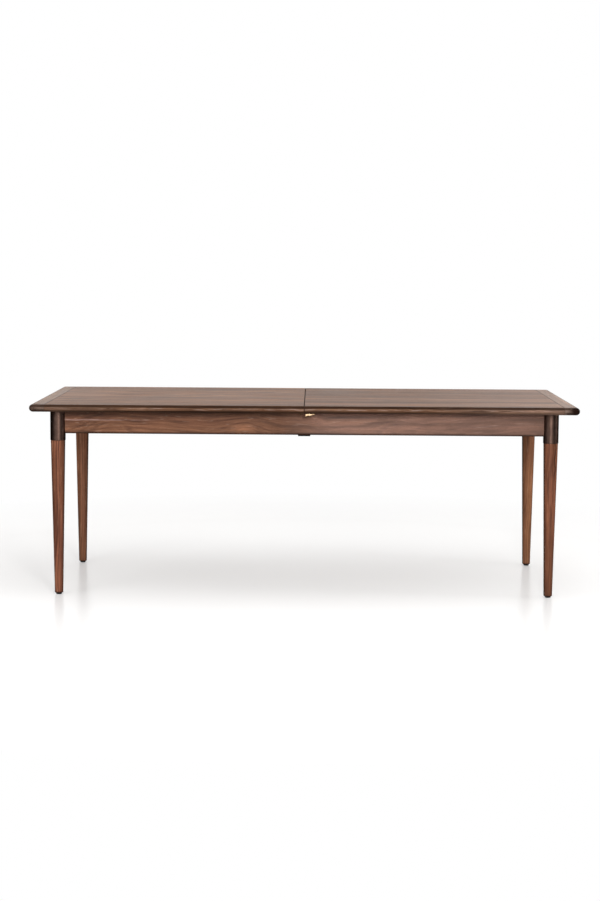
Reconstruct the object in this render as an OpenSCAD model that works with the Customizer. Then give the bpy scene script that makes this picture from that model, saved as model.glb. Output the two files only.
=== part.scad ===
// Extending dining table: a fixed walnut base with four turned legs in steel caps, and a top
// in two halves that draw apart on geared runners over a folding leaf stored in the frame.
// Millimetres. Origin on the floor under the centre of the table, +X along its length,
// +Y from the front to the back, +Z up. The model stands closed.

/* [Top] */
// Length of the closed top
table_l = 2134; // [2060:1:2300]
// Width of the top, front to back
table_w = 1016; // [980:1:1120]
// Height of the top surface above the floor
table_h = 762; // [700:1:800]
// Thickness of the top, its end boards and the leaf
top_t = 29; // [25:1:32]
// Width of the cross-grain board at each end
end_board_w = 60; // [40:1:75]
// Width of the tongue that holds an end board
tongue_w = 20; // [12:1:24]
// Thickness of the tongue
tongue_t = 10; // [7:0.5:12]
// From the front edge to the end of the tongue
tongue_inset = 36; // [20:1:60]
// Width of the leaf, which is also the gap that the two halves open
leaf_w = 508; // [440:1:520]
// Bevel along the top edge of each seam
seam_bevel = 0.8; // [0.4:0.1:1.5]
// Gap left in each seam
seam_gap = 0.4; // [0.2:0.1:1]

/* [Legs] */
// From the end of the top to the axis of a leg
leg_inset_x = 98; // [90:1:110]
// Diameter of the wooden leg under its cap
leg_top_d = 57; // [50:0.5:59]
// Diameter of the wooden leg at the foot
leg_foot_d = 33.5; // [28:0.5:45]
// Outer diameter of the steel cap
cap_d = 60; // [56:0.5:64]
// Wall of the steel cap
cap_wall = 4; // [2:0.5:6]
// Height of the steel cap
cap_h = 117; // [105:1:140]
// Diameter of the foot glide
glide_d = 23; // [18:1:28]
// Height of the foot glide under the leg
glide_h = 6; // [3:1:10]
// Diameter of the stem of the foot glide
glide_stem_d = 8; // [5:1:12]
// Length of the stem of the foot glide
glide_stem_l = 18; // [10:1:30]

/* [Frame] */
// Thickness of the aprons
apron_t = 22; // [18:1:26]
// Height of the aprons
apron_h = 90; // [84:1:100]
// Thickness of the four cross rails that guide the runners
rail_t = 22; // [18:1:28]
// Thickness of the centre rail, which carries the pinions
centre_rail_t = 44; // [36:1:60]
// Distance of the inner rails from the centre
inner_rail_x = 120; // [90:1:160]
// Width of the steel strap under the centre rail
strap_w = 48; // [40:1:60]
// Thickness of the steel strap
strap_t = 5; // [3:1:8]
// Height of the corner blocks
block_h = 60; // [44:1:70]
// Length of a corner block along each apron, from the axis of the leg
block_l = 95; // [85:1:105]
// Thickness of the nylon strips that the top slides on
pad_t = 2; // [1:0.5:3]
// Width of the nylon strips
pad_w = 14; // [8:1:18]
// Length of the nylon strips
pad_l = 70; // [40:1:100]

/* [Leg bolts] */
// Diameter of the bolts that draw the legs to the corner blocks
bolt_d = 8; // [6:0.5:10]
// Distance of each bolt above and below the middle of the apron
bolt_rise = 18; // [14:1:20]
// Diameter of the washer
washer_d = 22; // [18:1:26]
// Thickness of the washer
washer_t = 2; // [1:0.5:3]
// Width across the flats of the nut
nut_w = 13; // [11:0.5:17]
// Thickness of the nut
nut_t = 6.5; // [4:0.5:9]

/* [Runners] */
// Width of a runner
runner_w = 28; // [26:1:30]
// Height of a runner
runner_h = 38; // [36:1:40]
// Wood left in the rails between the guides of the runners and the long aprons
side_w = 9.7; // [6:0.1:14]
// Wood left in the rails between the leaf and the guides of the runners
ledge_w = 7.7; // [5:0.1:8]
// Depth of the guide groove in a runner
groove_d = 6; // [4:0.5:8]
// Height of the guide groove
groove_h = 8; // [7:0.5:10]
// Height of the lower edge of the groove above the bottom of the runner
groove_z = 12; // [10:1:14]
// Wall of the nylon guides
guide_t = 3; // [2:0.5:4]
// Diameter of the stop pins in the runners
stop_d = 8; // [6:0.5:10]
// How far a stop pin stands out under its runner
stop_drop = 12; // [9:1:16]
// Width of the cleats under the top
cleat_w = 34; // [24:1:36]
// Height of the cleats
cleat_h = 16; // [10:1:20]
// Gap between a cleat and the runners beside it
cleat_gap = 6; // [2:1:10]

// How far a runner goes on past its outer rail
runner_tail = 9; // [6:1:20]
// Wood left past the inner end of a rack
rack_end = 4; // [3:1:12]

/* [Screws] */
// Diameter of the screws
screw_d = 5; // [4:0.5:6]
// Diameter of the screw heads
screw_head_d = 10; // [8:0.5:11]
// Height of the heads of the runner screws
screw_head_h = 4; // [3:0.5:5]
// Depth of the recess for the head of a runner screw
screw_recess = 8; // [6:0.5:10]
// Length of a screw in the piece that it holds to
screw_grip = 18; // [12:1:22]
// From the seam to the nearest runner screw
screw_inset = 40; // [32:1:60]
// Distance between the two outer screws of a runner
screw_pitch = 180; // [140:1:220]

/* [Gears] */
// Module of the pinions and racks
gear_m = 2; // [1.8:0.1:2.2]
// Teeth on a pinion, an even number
pinion_teeth = 18; // [18:2:20]
// Thickness of a pinion
pinion_t = 10; // [6:1:11]
// Height of a rack
rack_h = 12; // [11:1:14]
// Thickness of a rack behind its teeth
rack_back = 4; // [3.5:0.5:5]
// Height of the lower edge of a rack above the bottom of the runner
rack_z = 13; // [11:1:14]
// Play between the teeth, measured along the rack
backlash = 0.2; // [0.1:0.05:0.4]
// Diameter of the axle of a pinion
axle_d = 8; // [6:1:10]
// Width of the lip of an axle's head round the axle
axle_lip = 3; // [2:0.5:4]
// Thickness of the head of an axle
axle_head_h = 4; // [2:0.5:5]
// Length of an axle in the centre rail
axle_grip = 18; // [12:1:20]
// Diameter of the hub of a pinion
hub_d = 22; // [16:1:24]

/* [Seam hardware] */
// Diameter of the alignment pins
pin_d = 10; // [8:1:12]
// How far an alignment pin stands out
pin_out = 15; // [10:1:20]
// From the front edge of the top to the middle of a latch
latch_inset = 30; // [26:1:40]
// Width of the latch plates
latch_w = 18; // [14:1:20]
// Length of the plate that carries the lever
latch_plate_l = 44; // [36:1:50]
// Thickness of the latch plates
latch_t = 2; // [1.5:0.5:3]
// Thickness of the latch lever
lever_t = 2.5; // [2:0.5:3.5]
// Distance of the lever's pivot from the seam
pivot_x = 10; // [8:1:13]
// From the pivot to the catch post
hook_reach = 24; // [22:1:28]
// Diameter of the catch post
post_d = 6; // [5:0.5:7]
// Half the width of the lever
lever_half_w = 7; // [6:0.5:7]
// Diameter of the rivet that the lever turns on
rivet_d = 5; // [4:0.5:6]
// Thickness of the heads of the rivet and the catch post
head_t = 1.6; // [1:0.1:2.5]
// Length of the plate of the catch post
keeper_l = 20; // [16:1:24]
// Length of the thumb tab on the lever
tab_l = 26; // [16:1:28]
// Height of the thumb tab below the lever at its pivot end
tab_h = 8; // [6:0.5:10]
// How far the lower edge of the tab rises to its other end
tab_rise = 4; // [2:0.5:5]
// Diameter of the rolled lower edge of the tab
roll_d = 3.2; // [2.6:0.2:4]

/* [Leaf] */
// Space beside the stored leaf, between its pins and the cleats
leaf_room = 27.4; // [10:0.1:40]
// Space between the stored leaf and the top
leaf_clear = 3; // [2:0.5:4]
// Thickness of the hinge leaves, two of which lie between the folded panels
hinge_t = 1; // [0.8:0.1:1.5]
// Length of a leaf hinge
hinge_l = 60; // [40:1:80]
// Width of each leaf of a hinge
hinge_w = 22; // [16:1:30]
// Diameter of the hinge barrel
barrel_d = 6; // [5:0.5:8]
// Thickness of the felt under the stored leaf
felt_t = 2; // [1:0.5:3]
// Width of the felts
felt_w = 18; // [10:1:30]
// Length of the felts
felt_l = 60; // [30:1:90]

/* [Hidden] */
$fn = 72;
walnut = "#6d4838";
dark_walnut = "#5c3b2e";
beech = "#b48a5c";
gunmetal = "#4a4441";
black_steel = "#1c1b1a";
bright_steel = "#a9a9a6";
brass = "#b98f45";
nylon = "#d9d5cb";
felt = "#3a3f3a";

// Clearances: glued or seated, running, and loose
seat_fit = 0.05;
run_fit = 0.3;
loose_fit = 1;

edge_r = top_t / 2;
half_l = table_l / 2;
half_w = table_w / 2;
travel = leaf_w / 2;
leg_x = half_l - leg_inset_x;

// Levels, from the top down
z_under = table_h - top_t;
z_frame = z_under - pad_t;
z_apron = z_frame - apron_h;
z_cap = z_frame - cap_h;
z_runner = z_under - runner_h;
z_guide = z_runner - run_fit - guide_t;
z_leaf_top = z_under - leaf_clear;
z_fold = z_leaf_top - top_t - hinge_t;
z_leaf_bottom = z_fold - hinge_t - top_t;
z_leaf_rail = z_leaf_bottom - felt_t;
z_bolts = z_frame - apron_h / 2;

// Gears
pressure_angle = 20;
tooth_pitch = PI * gear_m;
pitch_r = gear_m * pinion_teeth / 2;
addendum = gear_m;
dedendum = 1.25 * gear_m;
involute_steps = 5;
axle_step = 1;
rack_play = 0.5;
teeth_before = 3;
teeth_after = ceil(travel / tooth_pitch) + teeth_before;
rack_root = pitch_r + dedendum;
rack_outer = rack_root + rack_back;

// The leaf folds at its middle, so a folded panel is half as long as the table is wide
leaf_x = travel - seam_gap;
fold_y = half_w / 2;
well_y = fold_y + barrel_d / 2 + loose_fit;

// Runners, measured outwards from the axis of the pinion that they pass
lane_in = rack_root + rack_play;
lane_out = lane_in + runner_w;
lane_mid = (lane_in + lane_out) / 2;
guide_wall = lane_out + run_fit;
lane_y = well_y + ledge_w + guide_t + guide_wall;
inner_y = lane_y + guide_wall + guide_t + side_w;
leg_y = inner_y + apron_t / 2;
cleat_in = leaf_x + pin_out + leaf_room;
stop_x = cleat_in + cleat_w;
outer_rail_x = stop_x + stop_d / 2 + loose_fit + travel + rail_t / 2;
runner_inner_end = teeth_after * tooth_pitch + rack_end;
runner_outer_end = outer_rail_x + rail_t / 2 + runner_tail;
screw_xs = [screw_inset, travel - screw_inset, outer_rail_x - screw_pitch, outer_rail_x];
cleat_l = 2 * (lane_y - lane_out - cleat_gap);
cleat_xs = [cleat_in + cleat_w / 2, runner_outer_end + cleat_gap + cleat_w / 2];

// Pins and hinges
hinge_xs = [-170, 0, 170];
knuckles = 5;
knuckle_gap = 0.2;
hinge_pin_d = 3;
pin_ys = [150, 350];

// Pieces of the frame
pad_xs = [travel + pad_l, leg_x - block_l - pad_l];
strap_sink = 2.6;
strap_screw_ys = [-leg_y, -leg_y / 2, 0, leg_y / 2, leg_y];
tab_start = 2;
hook_tip = 4;
hook_round = 3;
shoulder_h = 1.2;
cap_bevel = 0.8;
foot_bevel = 2;
glide_bevel = 1.5;
thread_past_nut = 3;
block_gap = 4;
bolt_start = -12;

// Profiles drawn as (Y, Z) and extruded along X from x0 to x1
module along_x(x0, x1) {
    translate([x0, 0, 0]) rotate([90, 0, 90]) linear_extrude(x1 - x0) children();
}

// Points of a half profile (distance from the pinion's axis, Z) placed in a lane.
// side is -1 for the front pair and 1 for the back pair; lane is 1 for the runners of the
// left half, outside the pinion, and -1 for those of the right half, inside it.
function in_lane(side, lane, points) = [for (p = points) [side * (lane_y + lane * p[0]), p[1]]];

// Legs

module at_leg(sx, sy) {
    translate([sx * leg_x, sy * leg_y, 0]) children();
}

// Points a child's +Z from the axis of a leg to the middle of the table
module on_diagonal(sx, sy, rise) {
    at_leg(sx, sy)
        translate([0, 0, z_bolts + rise])
            rotate([0, 0, atan2(-sy, -sx)])
                rotate([0, 90, 0])
                    children();
}

module bolt_holes(sx, sy, reach, fit) {
    for (k = [-1, 1])
        on_diagonal(sx, sy, k * bolt_rise)
            translate([0, 0, bolt_start - fit])
                cylinder(d = bolt_d + 2 * fit, h = reach);
}

module leg(sx, sy) {
    spigot_r = cap_d / 2 - cap_wall - seat_fit;
    color(walnut)
        difference() {
            at_leg(sx, sy)
                rotate_extrude()
                    polygon([
                        [0, glide_h],
                        [leg_foot_d / 2 - foot_bevel, glide_h],
                        [leg_foot_d / 2, glide_h + foot_bevel],
                        [leg_top_d / 2, z_cap - shoulder_h],
                        [leg_top_d / 2 - shoulder_h, z_cap],
                        [spigot_r, z_cap],
                        [spigot_r, z_frame - cap_wall - seat_fit],
                        [0, z_frame - cap_wall - seat_fit]
                    ]);
            at_leg(sx, sy)
                translate([0, 0, -1])
                    cylinder(d = glide_stem_d + 2 * seat_fit, h = 1 + glide_h + glide_stem_l + seat_fit);
            bolt_holes(sx, sy, cap_d, seat_fit);
        }
}

module leg_cap(sx, sy) {
    outer_r = cap_d / 2;
    inner_r = outer_r - cap_wall;
    color(gunmetal)
        difference() {
            at_leg(sx, sy)
                rotate_extrude()
                    polygon([
                        [inner_r, z_cap],
                        [outer_r - cap_bevel, z_cap],
                        [outer_r, z_cap + cap_bevel],
                        [outer_r, z_frame - cap_bevel],
                        [outer_r - cap_bevel, z_frame],
                        [0, z_frame],
                        [0, z_frame - cap_wall],
                        [inner_r, z_frame - cap_wall]
                    ]);
            bolt_holes(sx, sy, cap_d, loose_fit / 2);
        }
}

module foot_glides() {
    stem_top = glide_h + glide_stem_l;
    color(black_steel)
        for (sx = [-1, 1], sy = [-1, 1])
            at_leg(sx, sy)
                rotate_extrude()
                    polygon([
                        [0, 0],
                        [glide_d / 2 - glide_bevel, 0],
                        [glide_d / 2, glide_bevel],
                        [glide_d / 2, glide_h],
                        [glide_stem_d / 2, glide_h],
                        [glide_stem_d / 2, stem_top],
                        [0, stem_top]
                    ]);
}

// Frame

module cap_clearance() {
    for (sx = [-1, 1], sy = [-1, 1])
        at_leg(sx, sy)
            translate([0, 0, z_apron - 1])
                cylinder(d = cap_d + 2 * seat_fit, h = apron_h + 2);
}

module long_apron(side) {
    color(walnut)
        difference() {
            translate([-leg_x, side * leg_y - apron_t / 2, z_apron])
                cube([2 * leg_x, apron_t, apron_h]);
            cap_clearance();
            translate([0, side * leg_y, z_apron])
                strap_screw(seat_fit);
        }
}

module end_apron(side) {
    color(walnut)
        difference() {
            translate([side * leg_x - apron_t / 2, -leg_y, z_apron])
                cube([apron_t, 2 * leg_y, apron_h]);
            cap_clearance();
        }
}

module corner_block(sx, sy) {
    near = apron_t / 2;
    front = (cap_d / 2 + block_gap) * sqrt(2);
    outline = [[near, front - near], [front - near, near], [block_l, near], [near, block_l]];
    difference() {
        at_leg(sx, sy)
            translate([0, 0, z_bolts - block_h / 2])
                linear_extrude(block_h)
                    polygon([for (p = outline) [-sx * p[0], -sy * p[1]]]);
        bolt_holes(sx, sy, 2 * block_l, loose_fit / 2);
    }
}

module corner_blocks() {
    color(beech)
        for (sx = [-1, 1], sy = [-1, 1])
            corner_block(sx, sy);
}

// A bolt in the leg, its washer and its nut, along +Z from the axis of the leg
module leg_bolt() {
    block_back = (apron_t / 2 + block_l) / sqrt(2);
    nut_z = block_back + washer_t;
    translate([0, 0, bolt_start])
        cylinder(d = bolt_d, h = nut_z + nut_t + thread_past_nut - bolt_start);
    translate([0, 0, block_back])
        difference() {
            cylinder(d = washer_d, h = washer_t);
            translate([0, 0, -1]) cylinder(d = bolt_d + 2 * run_fit, h = washer_t + 2);
        }
    translate([0, 0, nut_z])
        difference() {
            cylinder(d = nut_w / cos(30), h = nut_t, $fn = 6);
            translate([0, 0, -1]) cylinder(d = bolt_d + 2 * seat_fit, h = nut_t + 2);
        }
}

module leg_bolts() {
    color(bright_steel)
        for (sx = [-1, 1], sy = [-1, 1], k = [-1, 1])
            on_diagonal(sx, sy, k * bolt_rise)
                leg_bolt();
}

// Outer rails: one runner of each pair passes through
module outer_rail(side) {
    lane = -side;
    wall = guide_wall + guide_t;
    color(beech)
        along_x(side * outer_rail_x - rail_t / 2, side * outer_rail_x + rail_t / 2)
            difference() {
                translate([-inner_y, z_apron]) square([2 * inner_y, apron_h]);
                for (s = [-1, 1])
                    polygon(in_lane(s, lane, [
                        [lane_in - loose_fit, z_guide], [wall, z_guide],
                        [wall, z_frame + 1], [lane_in - loose_fit, z_frame + 1]
                    ]));
            }
}

// Outline of the inner rails and the centre rail: low under the stored leaf, a step up
// under the runners, and full height at the aprons
module stepped_outline() {
    shelf = lane_y + guide_wall + guide_t;
    right = [
        [inner_y, z_apron], [inner_y, z_frame], [shelf, z_frame],
        [shelf, z_guide], [well_y, z_guide], [well_y, z_leaf_rail]
    ];
    polygon([
        for (p = right) p,
        for (i = [len(right) - 1:-1:0]) [-right[i][0], right[i][1]]
    ]);
}

module inner_rail(side) {
    color(beech)
        along_x(side * inner_rail_x - rail_t / 2, side * inner_rail_x + rail_t / 2)
            stepped_outline();
}

module centre_rail() {
    color(beech)
        difference() {
            along_x(-centre_rail_t / 2, centre_rail_t / 2) stepped_outline();
            for (s = [-1, 1])
                translate([0, s * lane_y, 0])
                    axle_outline(seat_fit);
            for (y = strap_screw_ys)
                translate([0, y, z_apron])
                    strap_screw(seat_fit);
        }
}

// Countersunk screw up through the strap, with its head flush below
module strap_screw(fit) {
    translate([0, 0, -strap_t])
        cylinder(d1 = screw_head_d + 2 * fit, d2 = screw_d + 2 * fit, h = strap_sink);
    translate([0, 0, -strap_t])
        cylinder(d = screw_d + 2 * fit, h = strap_t + screw_grip + fit);
}

module centre_strap() {
    color(black_steel)
        difference() {
            translate([-strap_w / 2, -leg_y - apron_t / 2, z_apron - strap_t])
                cube([strap_w, 2 * leg_y + apron_t, strap_t]);
            for (y = strap_screw_ys)
                translate([0, y, z_apron])
                    strap_screw(seat_fit);
        }
}

module strap_screws() {
    color(bright_steel)
        for (y = strap_screw_ys)
            translate([0, y, z_apron])
                strap_screw(0);
}

// Nylon shoe: a floor under the runner and a tongue in its groove
module runner_guide(x, side, lane) {
    tongue_in = lane_out - groove_d + run_fit;
    tongue_low = z_runner + groove_z + run_fit;
    tongue_high = z_runner + groove_z + groove_h - run_fit;
    along_x(x - rail_t / 2, x + rail_t / 2)
        polygon(in_lane(side, lane, [
            [lane_in, z_guide],
            [guide_wall + guide_t, z_guide],
            [guide_wall + guide_t, tongue_high],
            [tongue_in, tongue_high],
            [tongue_in, tongue_low],
            [guide_wall, tongue_low],
            [guide_wall, z_runner - run_fit],
            [lane_in, z_runner - run_fit]
        ]));
}

module runner_guides(side) {
    color(nylon)
        for (half = [-1, 1]) {
            runner_guide(half * outer_rail_x, side, -half);
            for (lane = [-1, 1])
                runner_guide(half * inner_rail_x, side, lane);
        }
}

module top_glide_strips() {
    color(nylon) {
        for (x = pad_xs, sx = [-1, 1], sy = [-1, 1])
            translate([sx * x - pad_l / 2, sy * leg_y - pad_w / 2, z_frame])
                cube([pad_l, pad_w, pad_t]);
        for (sx = [-1, 1], sy = [-1, 1])
            translate([sx * leg_x - pad_w / 2, sy * leg_y / 2 - pad_l / 2, z_frame])
                cube([pad_w, pad_l, pad_t]);
    }
}

// Gears

function involute(alpha) = tan(alpha) * 180 / PI - alpha;

// Half the angle of a pinion tooth at radius r
function tooth_half_angle(r, base_r) =
    (tooth_pitch - backlash) / (4 * pitch_r) * 180 / PI
    + involute(pressure_angle) - involute(acos(base_r / r));

function on_circle(r, a) = [r * cos(a), r * sin(a)];

function pinion_outline() =
    let (
        base_r = pitch_r * cos(pressure_angle),
        tip_r = pitch_r + addendum,
        root_r = pitch_r - dedendum,
        radii = [for (i = [0:involute_steps]) base_r + (tip_r - base_r) * i / involute_steps]
    )
    [
        for (k = [0:pinion_teeth - 1])
            let (mid = 90 + k * 360 / pinion_teeth)
            for (p = [
                on_circle(root_r, mid - tooth_half_angle(base_r, base_r)),
                for (r = radii) on_circle(r, mid - tooth_half_angle(r, base_r)),
                for (i = [involute_steps:-1:0])
                    on_circle(radii[i], mid + tooth_half_angle(radii[i], base_r)),
                on_circle(root_r, mid + tooth_half_angle(base_r, base_r))
            ]) p
    ];

module pinion(side) {
    pinion_z = z_runner + rack_z + (rack_h - pinion_t) / 2;
    hub_z = z_guide + run_fit;
    color(bright_steel)
        translate([0, side * lane_y, 0])
            difference() {
                union() {
                    translate([0, 0, pinion_z])
                        linear_extrude(pinion_t) polygon(pinion_outline());
                    translate([0, 0, hub_z])
                        cylinder(d = hub_d, h = pinion_z - hub_z + pinion_t / 2);
                }
                translate([0, 0, z_guide - 1])
                    cylinder(d = axle_d + 2 * seat_fit, h = runner_h);
            }
}

// Shoulder screw that carries a pinion: shank in the rail, shoulder, and head
module axle_outline(fit) {
    shank_r = axle_d / 2 - axle_step + fit;
    shank_z = z_guide - axle_grip - fit;
    head_r = axle_d / 2 + axle_lip;
    head_z = z_runner + rack_z + (rack_h + pinion_t) / 2 + run_fit;
    rotate_extrude()
        polygon([
            [0, shank_z],
            [shank_r, shank_z],
            [shank_r, z_guide],
            [axle_d / 2, z_guide],
            [axle_d / 2, head_z],
            [head_r, head_z],
            [head_r, head_z + axle_head_h],
            [0, head_z + axle_head_h]
        ]);
}

module pinion_axles() {
    color(bright_steel)
        for (s = [-1, 1])
            translate([0, s * lane_y, 0])
                axle_outline(0);
}

// Teeth point towards the pinion, with a gap at x = 0 when the table is closed
module rack(half, side) {
    lane = -half;
    half_tooth = (tooth_pitch - backlash) / 4;
    tip_w = half_tooth - addendum * tan(pressure_angle);
    root_w = half_tooth + dedendum * tan(pressure_angle);
    x0 = -teeth_before * tooth_pitch;
    x1 = teeth_after * tooth_pitch;
    outline = [
        for (i = [-teeth_before:teeth_after - 1])
            let (x = (i + 0.5) * tooth_pitch)
            for (p = [
                [x - root_w, rack_root], [x - tip_w, pitch_r - addendum],
                [x + tip_w, pitch_r - addendum], [x + root_w, rack_root]
            ]) p,
        [x1, rack_root], [x1, rack_outer], [x0, rack_outer], [x0, rack_root]
    ];
    color(bright_steel)
        translate([0, 0, z_runner + rack_z])
            linear_extrude(rack_h)
                polygon([
                    for (p = outline) [-half * p[0], side * (lane_y + lane * p[1])]
                ]);
}

// Runners of one half: half is -1 for the left half and 1 for the right half
module runner(half, side) {
    lane = -half;
    rebate = rack_outer + seat_fit;
    profile = [
        [lane_in, z_runner],
        [lane_out, z_runner],
        [lane_out, z_runner + groove_z],
        [lane_out - groove_d, z_runner + groove_z],
        [lane_out - groove_d, z_runner + groove_z + groove_h],
        [lane_out, z_runner + groove_z + groove_h],
        [lane_out, z_under],
        [lane_in, z_under],
        [lane_in, z_runner + rack_z + rack_h + seat_fit],
        [rebate, z_runner + rack_z + rack_h + seat_fit],
        [rebate, z_runner + rack_z - seat_fit],
        [lane_in, z_runner + rack_z - seat_fit]
    ];
    ends = [-half * runner_inner_end, half * runner_outer_end];
    color(beech)
        difference() {
            along_x(min(ends), max(ends))
                polygon(in_lane(side, lane, profile));
            for (x = screw_xs)
                in_runner(half, side, x) runner_screw_hole();
            in_runner(half, side, stop_x)
                translate([0, 0, -1])
                    cylinder(d = stop_d + 2 * seat_fit, h = 1 + runner_h / 2);
        }
}

// Places a child on the middle line of a runner, at the level of its bottom
module in_runner(half, side, x) {
    translate([half * x, side * (lane_y - half * lane_mid), z_runner]) children();
}

module runner_screw_hole() {
    translate([0, 0, -1])
        cylinder(d = screw_head_d + loose_fit, h = 1 + screw_recess);
    cylinder(d = screw_d + 2 * seat_fit, h = runner_h + 1);
}

module runner_screws(half) {
    color(bright_steel)
        for (side = [-1, 1], x = screw_xs)
            in_runner(half, side, x) {
                translate([0, 0, screw_recess - screw_head_h])
                    cylinder(d = screw_head_d, h = screw_head_h);
                translate([0, 0, screw_recess - screw_head_h])
                    cylinder(d = screw_d, h = runner_h - screw_recess + screw_head_h + screw_grip);
            }
}

module stop_pins(half) {
    color(bright_steel)
        for (side = [-1, 1])
            in_runner(half, side, stop_x)
                translate([0, 0, -stop_drop])
                    cylinder(d = stop_d, h = stop_drop + runner_h / 2 - seat_fit);
}

module cleats(half) {
    color(beech)
        for (x = cleat_xs)
            translate([half * x - cleat_w / 2, -cleat_l / 2, z_under - cleat_h])
                cube([cleat_w, cleat_l, cleat_h]);
}

// Top

// Full half-round edges front and back, as a (Y, Z) profile
module top_profile() {
    translate([-half_w + edge_r, z_under]) square([table_w - top_t, top_t]);
    for (s = [-1, 1])
        translate([s * (half_w - edge_r), z_under + edge_r]) circle(r = edge_r);
}

// Bevel on a top edge that runs front to back at x
module seam_bevels(xs) {
    for (x = xs)
        translate([x, 0, table_h])
            rotate([0, 45, 0])
                cube([seam_bevel * sqrt(2), table_w, seam_bevel * sqrt(2)], center = true);
}

module pin_bores(x, ys, z, depth, fit) {
    for (y = ys)
        translate([x, y, z])
            rotate([0, 90, 0])
                cylinder(d = pin_d + 2 * fit, h = 2 * depth, center = true);
}

all_pin_ys = [for (y = pin_ys, s = [-1, 1]) s * y];

module top_panel(half) {
    seam = half * seam_gap / 2;
    outer = half * (half_l - end_board_w);
    fit = half < 0 ? seat_fit : run_fit;
    color(walnut)
        difference() {
            union() {
                along_x(min(seam, outer), max(seam, outer)) top_profile();
                end_tongue(half, tongue_w, tongue_t, tongue_inset);
            }
            seam_bevels([seam, outer]);
            pin_bores(0, all_pin_ys, z_under + edge_r, pin_out + loose_fit, fit);
            for (side = [-1, 1], x = screw_xs)
                in_runner(half, side, x)
                    cylinder(d = screw_d + 2 * seat_fit, h = runner_h + screw_grip + seat_fit);
        }
}

// Cross-grain end board, with its half-round edge carried round both corners
module end_board(half) {
    joint = half * (half_l - end_board_w + seam_gap / 2);
    round_x = half * (half_l - edge_r);
    color(dark_walnut)
        difference() {
            union() {
                along_x(min(joint, round_x), max(joint, round_x)) top_profile();
                translate([round_x, 0, z_under + edge_r])
                    rotate([90, 0, 0])
                        cylinder(r = edge_r, h = table_w - top_t, center = true);
                for (s = [-1, 1])
                    translate([round_x, s * (half_w - edge_r), z_under + edge_r])
                        sphere(r = edge_r);
            }
            seam_bevels([joint]);
            end_tongue(half, tongue_w + run_fit, tongue_t + 2 * seat_fit, tongue_inset - loose_fit);
        }
}

// Tongue of a panel that stands in its end board and stops short of both edges
module end_tongue(half, reach, thickness, inset) {
    start = half_l - end_board_w - loose_fit;
    xs = [half * start, half * (half_l - end_board_w + reach)];
    along_x(min(xs), max(xs))
        translate([inset - half_w, z_under + edge_r - thickness / 2])
            square([table_w - 2 * inset, thickness]);
}

module alignment_pins() {
    color(brass)
        for (y = all_pin_ys)
            translate([-pin_out, y, z_under + edge_r])
                rotate([0, 90, 0])
                    cylinder(d = pin_d, h = 2 * pin_out);
}

// Latches: a lever on the right half swings under a post on the left half

latch_y = half_w - latch_inset;
z_plate = z_under - latch_t;
z_lever = z_plate - run_fit - lever_t;

// Places a child on the line of the front latch, or mirrors it onto that of the back latch
module at_latch(side, x) {
    mirror([0, side < 0 ? 0 : 1, 0]) translate([x, -latch_y, 0]) children();
}

module latch_plate(side) {
    color(brass)
        at_latch(side, pivot_x) {
            translate([-lever_half_w, -latch_w / 2, z_plate])
                cube([latch_plate_l, latch_w, latch_t]);
            headed_post(rivet_d / 2);
        }
}

// Round post riveted into a plate, with a head under the lever
module headed_post(radius) {
    head_z = z_lever - run_fit;
    plate_middle = z_plate + latch_t / 2;
    rotate_extrude()
        polygon([
            [0, head_z - head_t], [radius + head_t, head_z - head_t],
            [radius + head_t, head_z], [radius, head_z],
            [radius, plate_middle], [0, plate_middle]
        ]);
}

// Lever along +X from its pivot, with a thumb tab on the -Y side. The slot of its hook
// follows the post's path round the pivot and opens to +Y.
module latch_lever(side) {
    slot_r = post_d / 2 + run_fit;
    tip_x = hook_reach + slot_r + hook_tip;
    color(brass)
        at_latch(side, pivot_x)
            difference() {
                union() {
                    translate([0, 0, z_lever])
                        linear_extrude(lever_t) {
                            circle(r = lever_half_w);
                            translate([0, -lever_half_w])
                                square([tip_x - hook_round, 2 * lever_half_w]);
                            translate([tip_x - hook_round, hook_round - lever_half_w])
                                square([hook_round, 2 * (lever_half_w - hook_round)]);
                            for (s = [-1, 1])
                                translate([tip_x - hook_round, s * (lever_half_w - hook_round)])
                                    circle(r = hook_round);
                        }
                    thumb_tab();
                }
                translate([0, 0, z_lever - 1])
                    cylinder(r = rivet_d / 2 + seat_fit, h = lever_t + 2);
                translate([hook_reach, 0, z_lever - 1])
                    cylinder(r = slot_r, h = lever_t + 2);
                intersection() {
                    translate([0, 0, z_lever - 1])
                        cube([tip_x, lever_half_w + 1, lever_t + 2]);
                    difference() {
                        translate([0, 0, z_lever - 2])
                            cylinder(r = hook_reach + slot_r, h = lever_t + 4);
                        translate([0, 0, z_lever - 3])
                            cylinder(r = hook_reach - slot_r, h = lever_t + 6);
                    }
                }
            }
}

// Tab that is bent down along the side of the lever, with a slanted and rolled lower edge
module thumb_tab() {
    start_x = tab_start - lever_half_w;
    slant = atan(tab_rise / tab_l);
    translate([start_x, -lever_half_w, 0])
        rotate([90, 0, 0])
            linear_extrude(lever_t)
                polygon([
                    [0, z_lever - tab_h], [tab_l, z_lever - tab_h + tab_rise],
                    [tab_l, z_lever + lever_t], [0, z_lever + lever_t]
                ]);
    translate([start_x, -lever_half_w - lever_t, z_lever - tab_h])
        rotate([0, 90 - slant, 0])
            cylinder(d = roll_d, h = tab_l / cos(slant));
}

module latch_keeper(side) {
    color(brass)
        at_latch(side, pivot_x - hook_reach) {
            translate([-keeper_l / 2, -latch_w / 2, z_plate])
                cube([keeper_l, latch_w, latch_t]);
            headed_post(post_d / 2);
        }
}

// Folded leaf: two panels, underside to underside, hinged along the back edge of the pack

module leaf_profile(low) {
    translate([-fold_y + edge_r, low]) square([2 * fold_y - edge_r - seam_gap / 2, top_t]);
    translate([-fold_y + edge_r, low + edge_r]) circle(r = edge_r);
}

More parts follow.
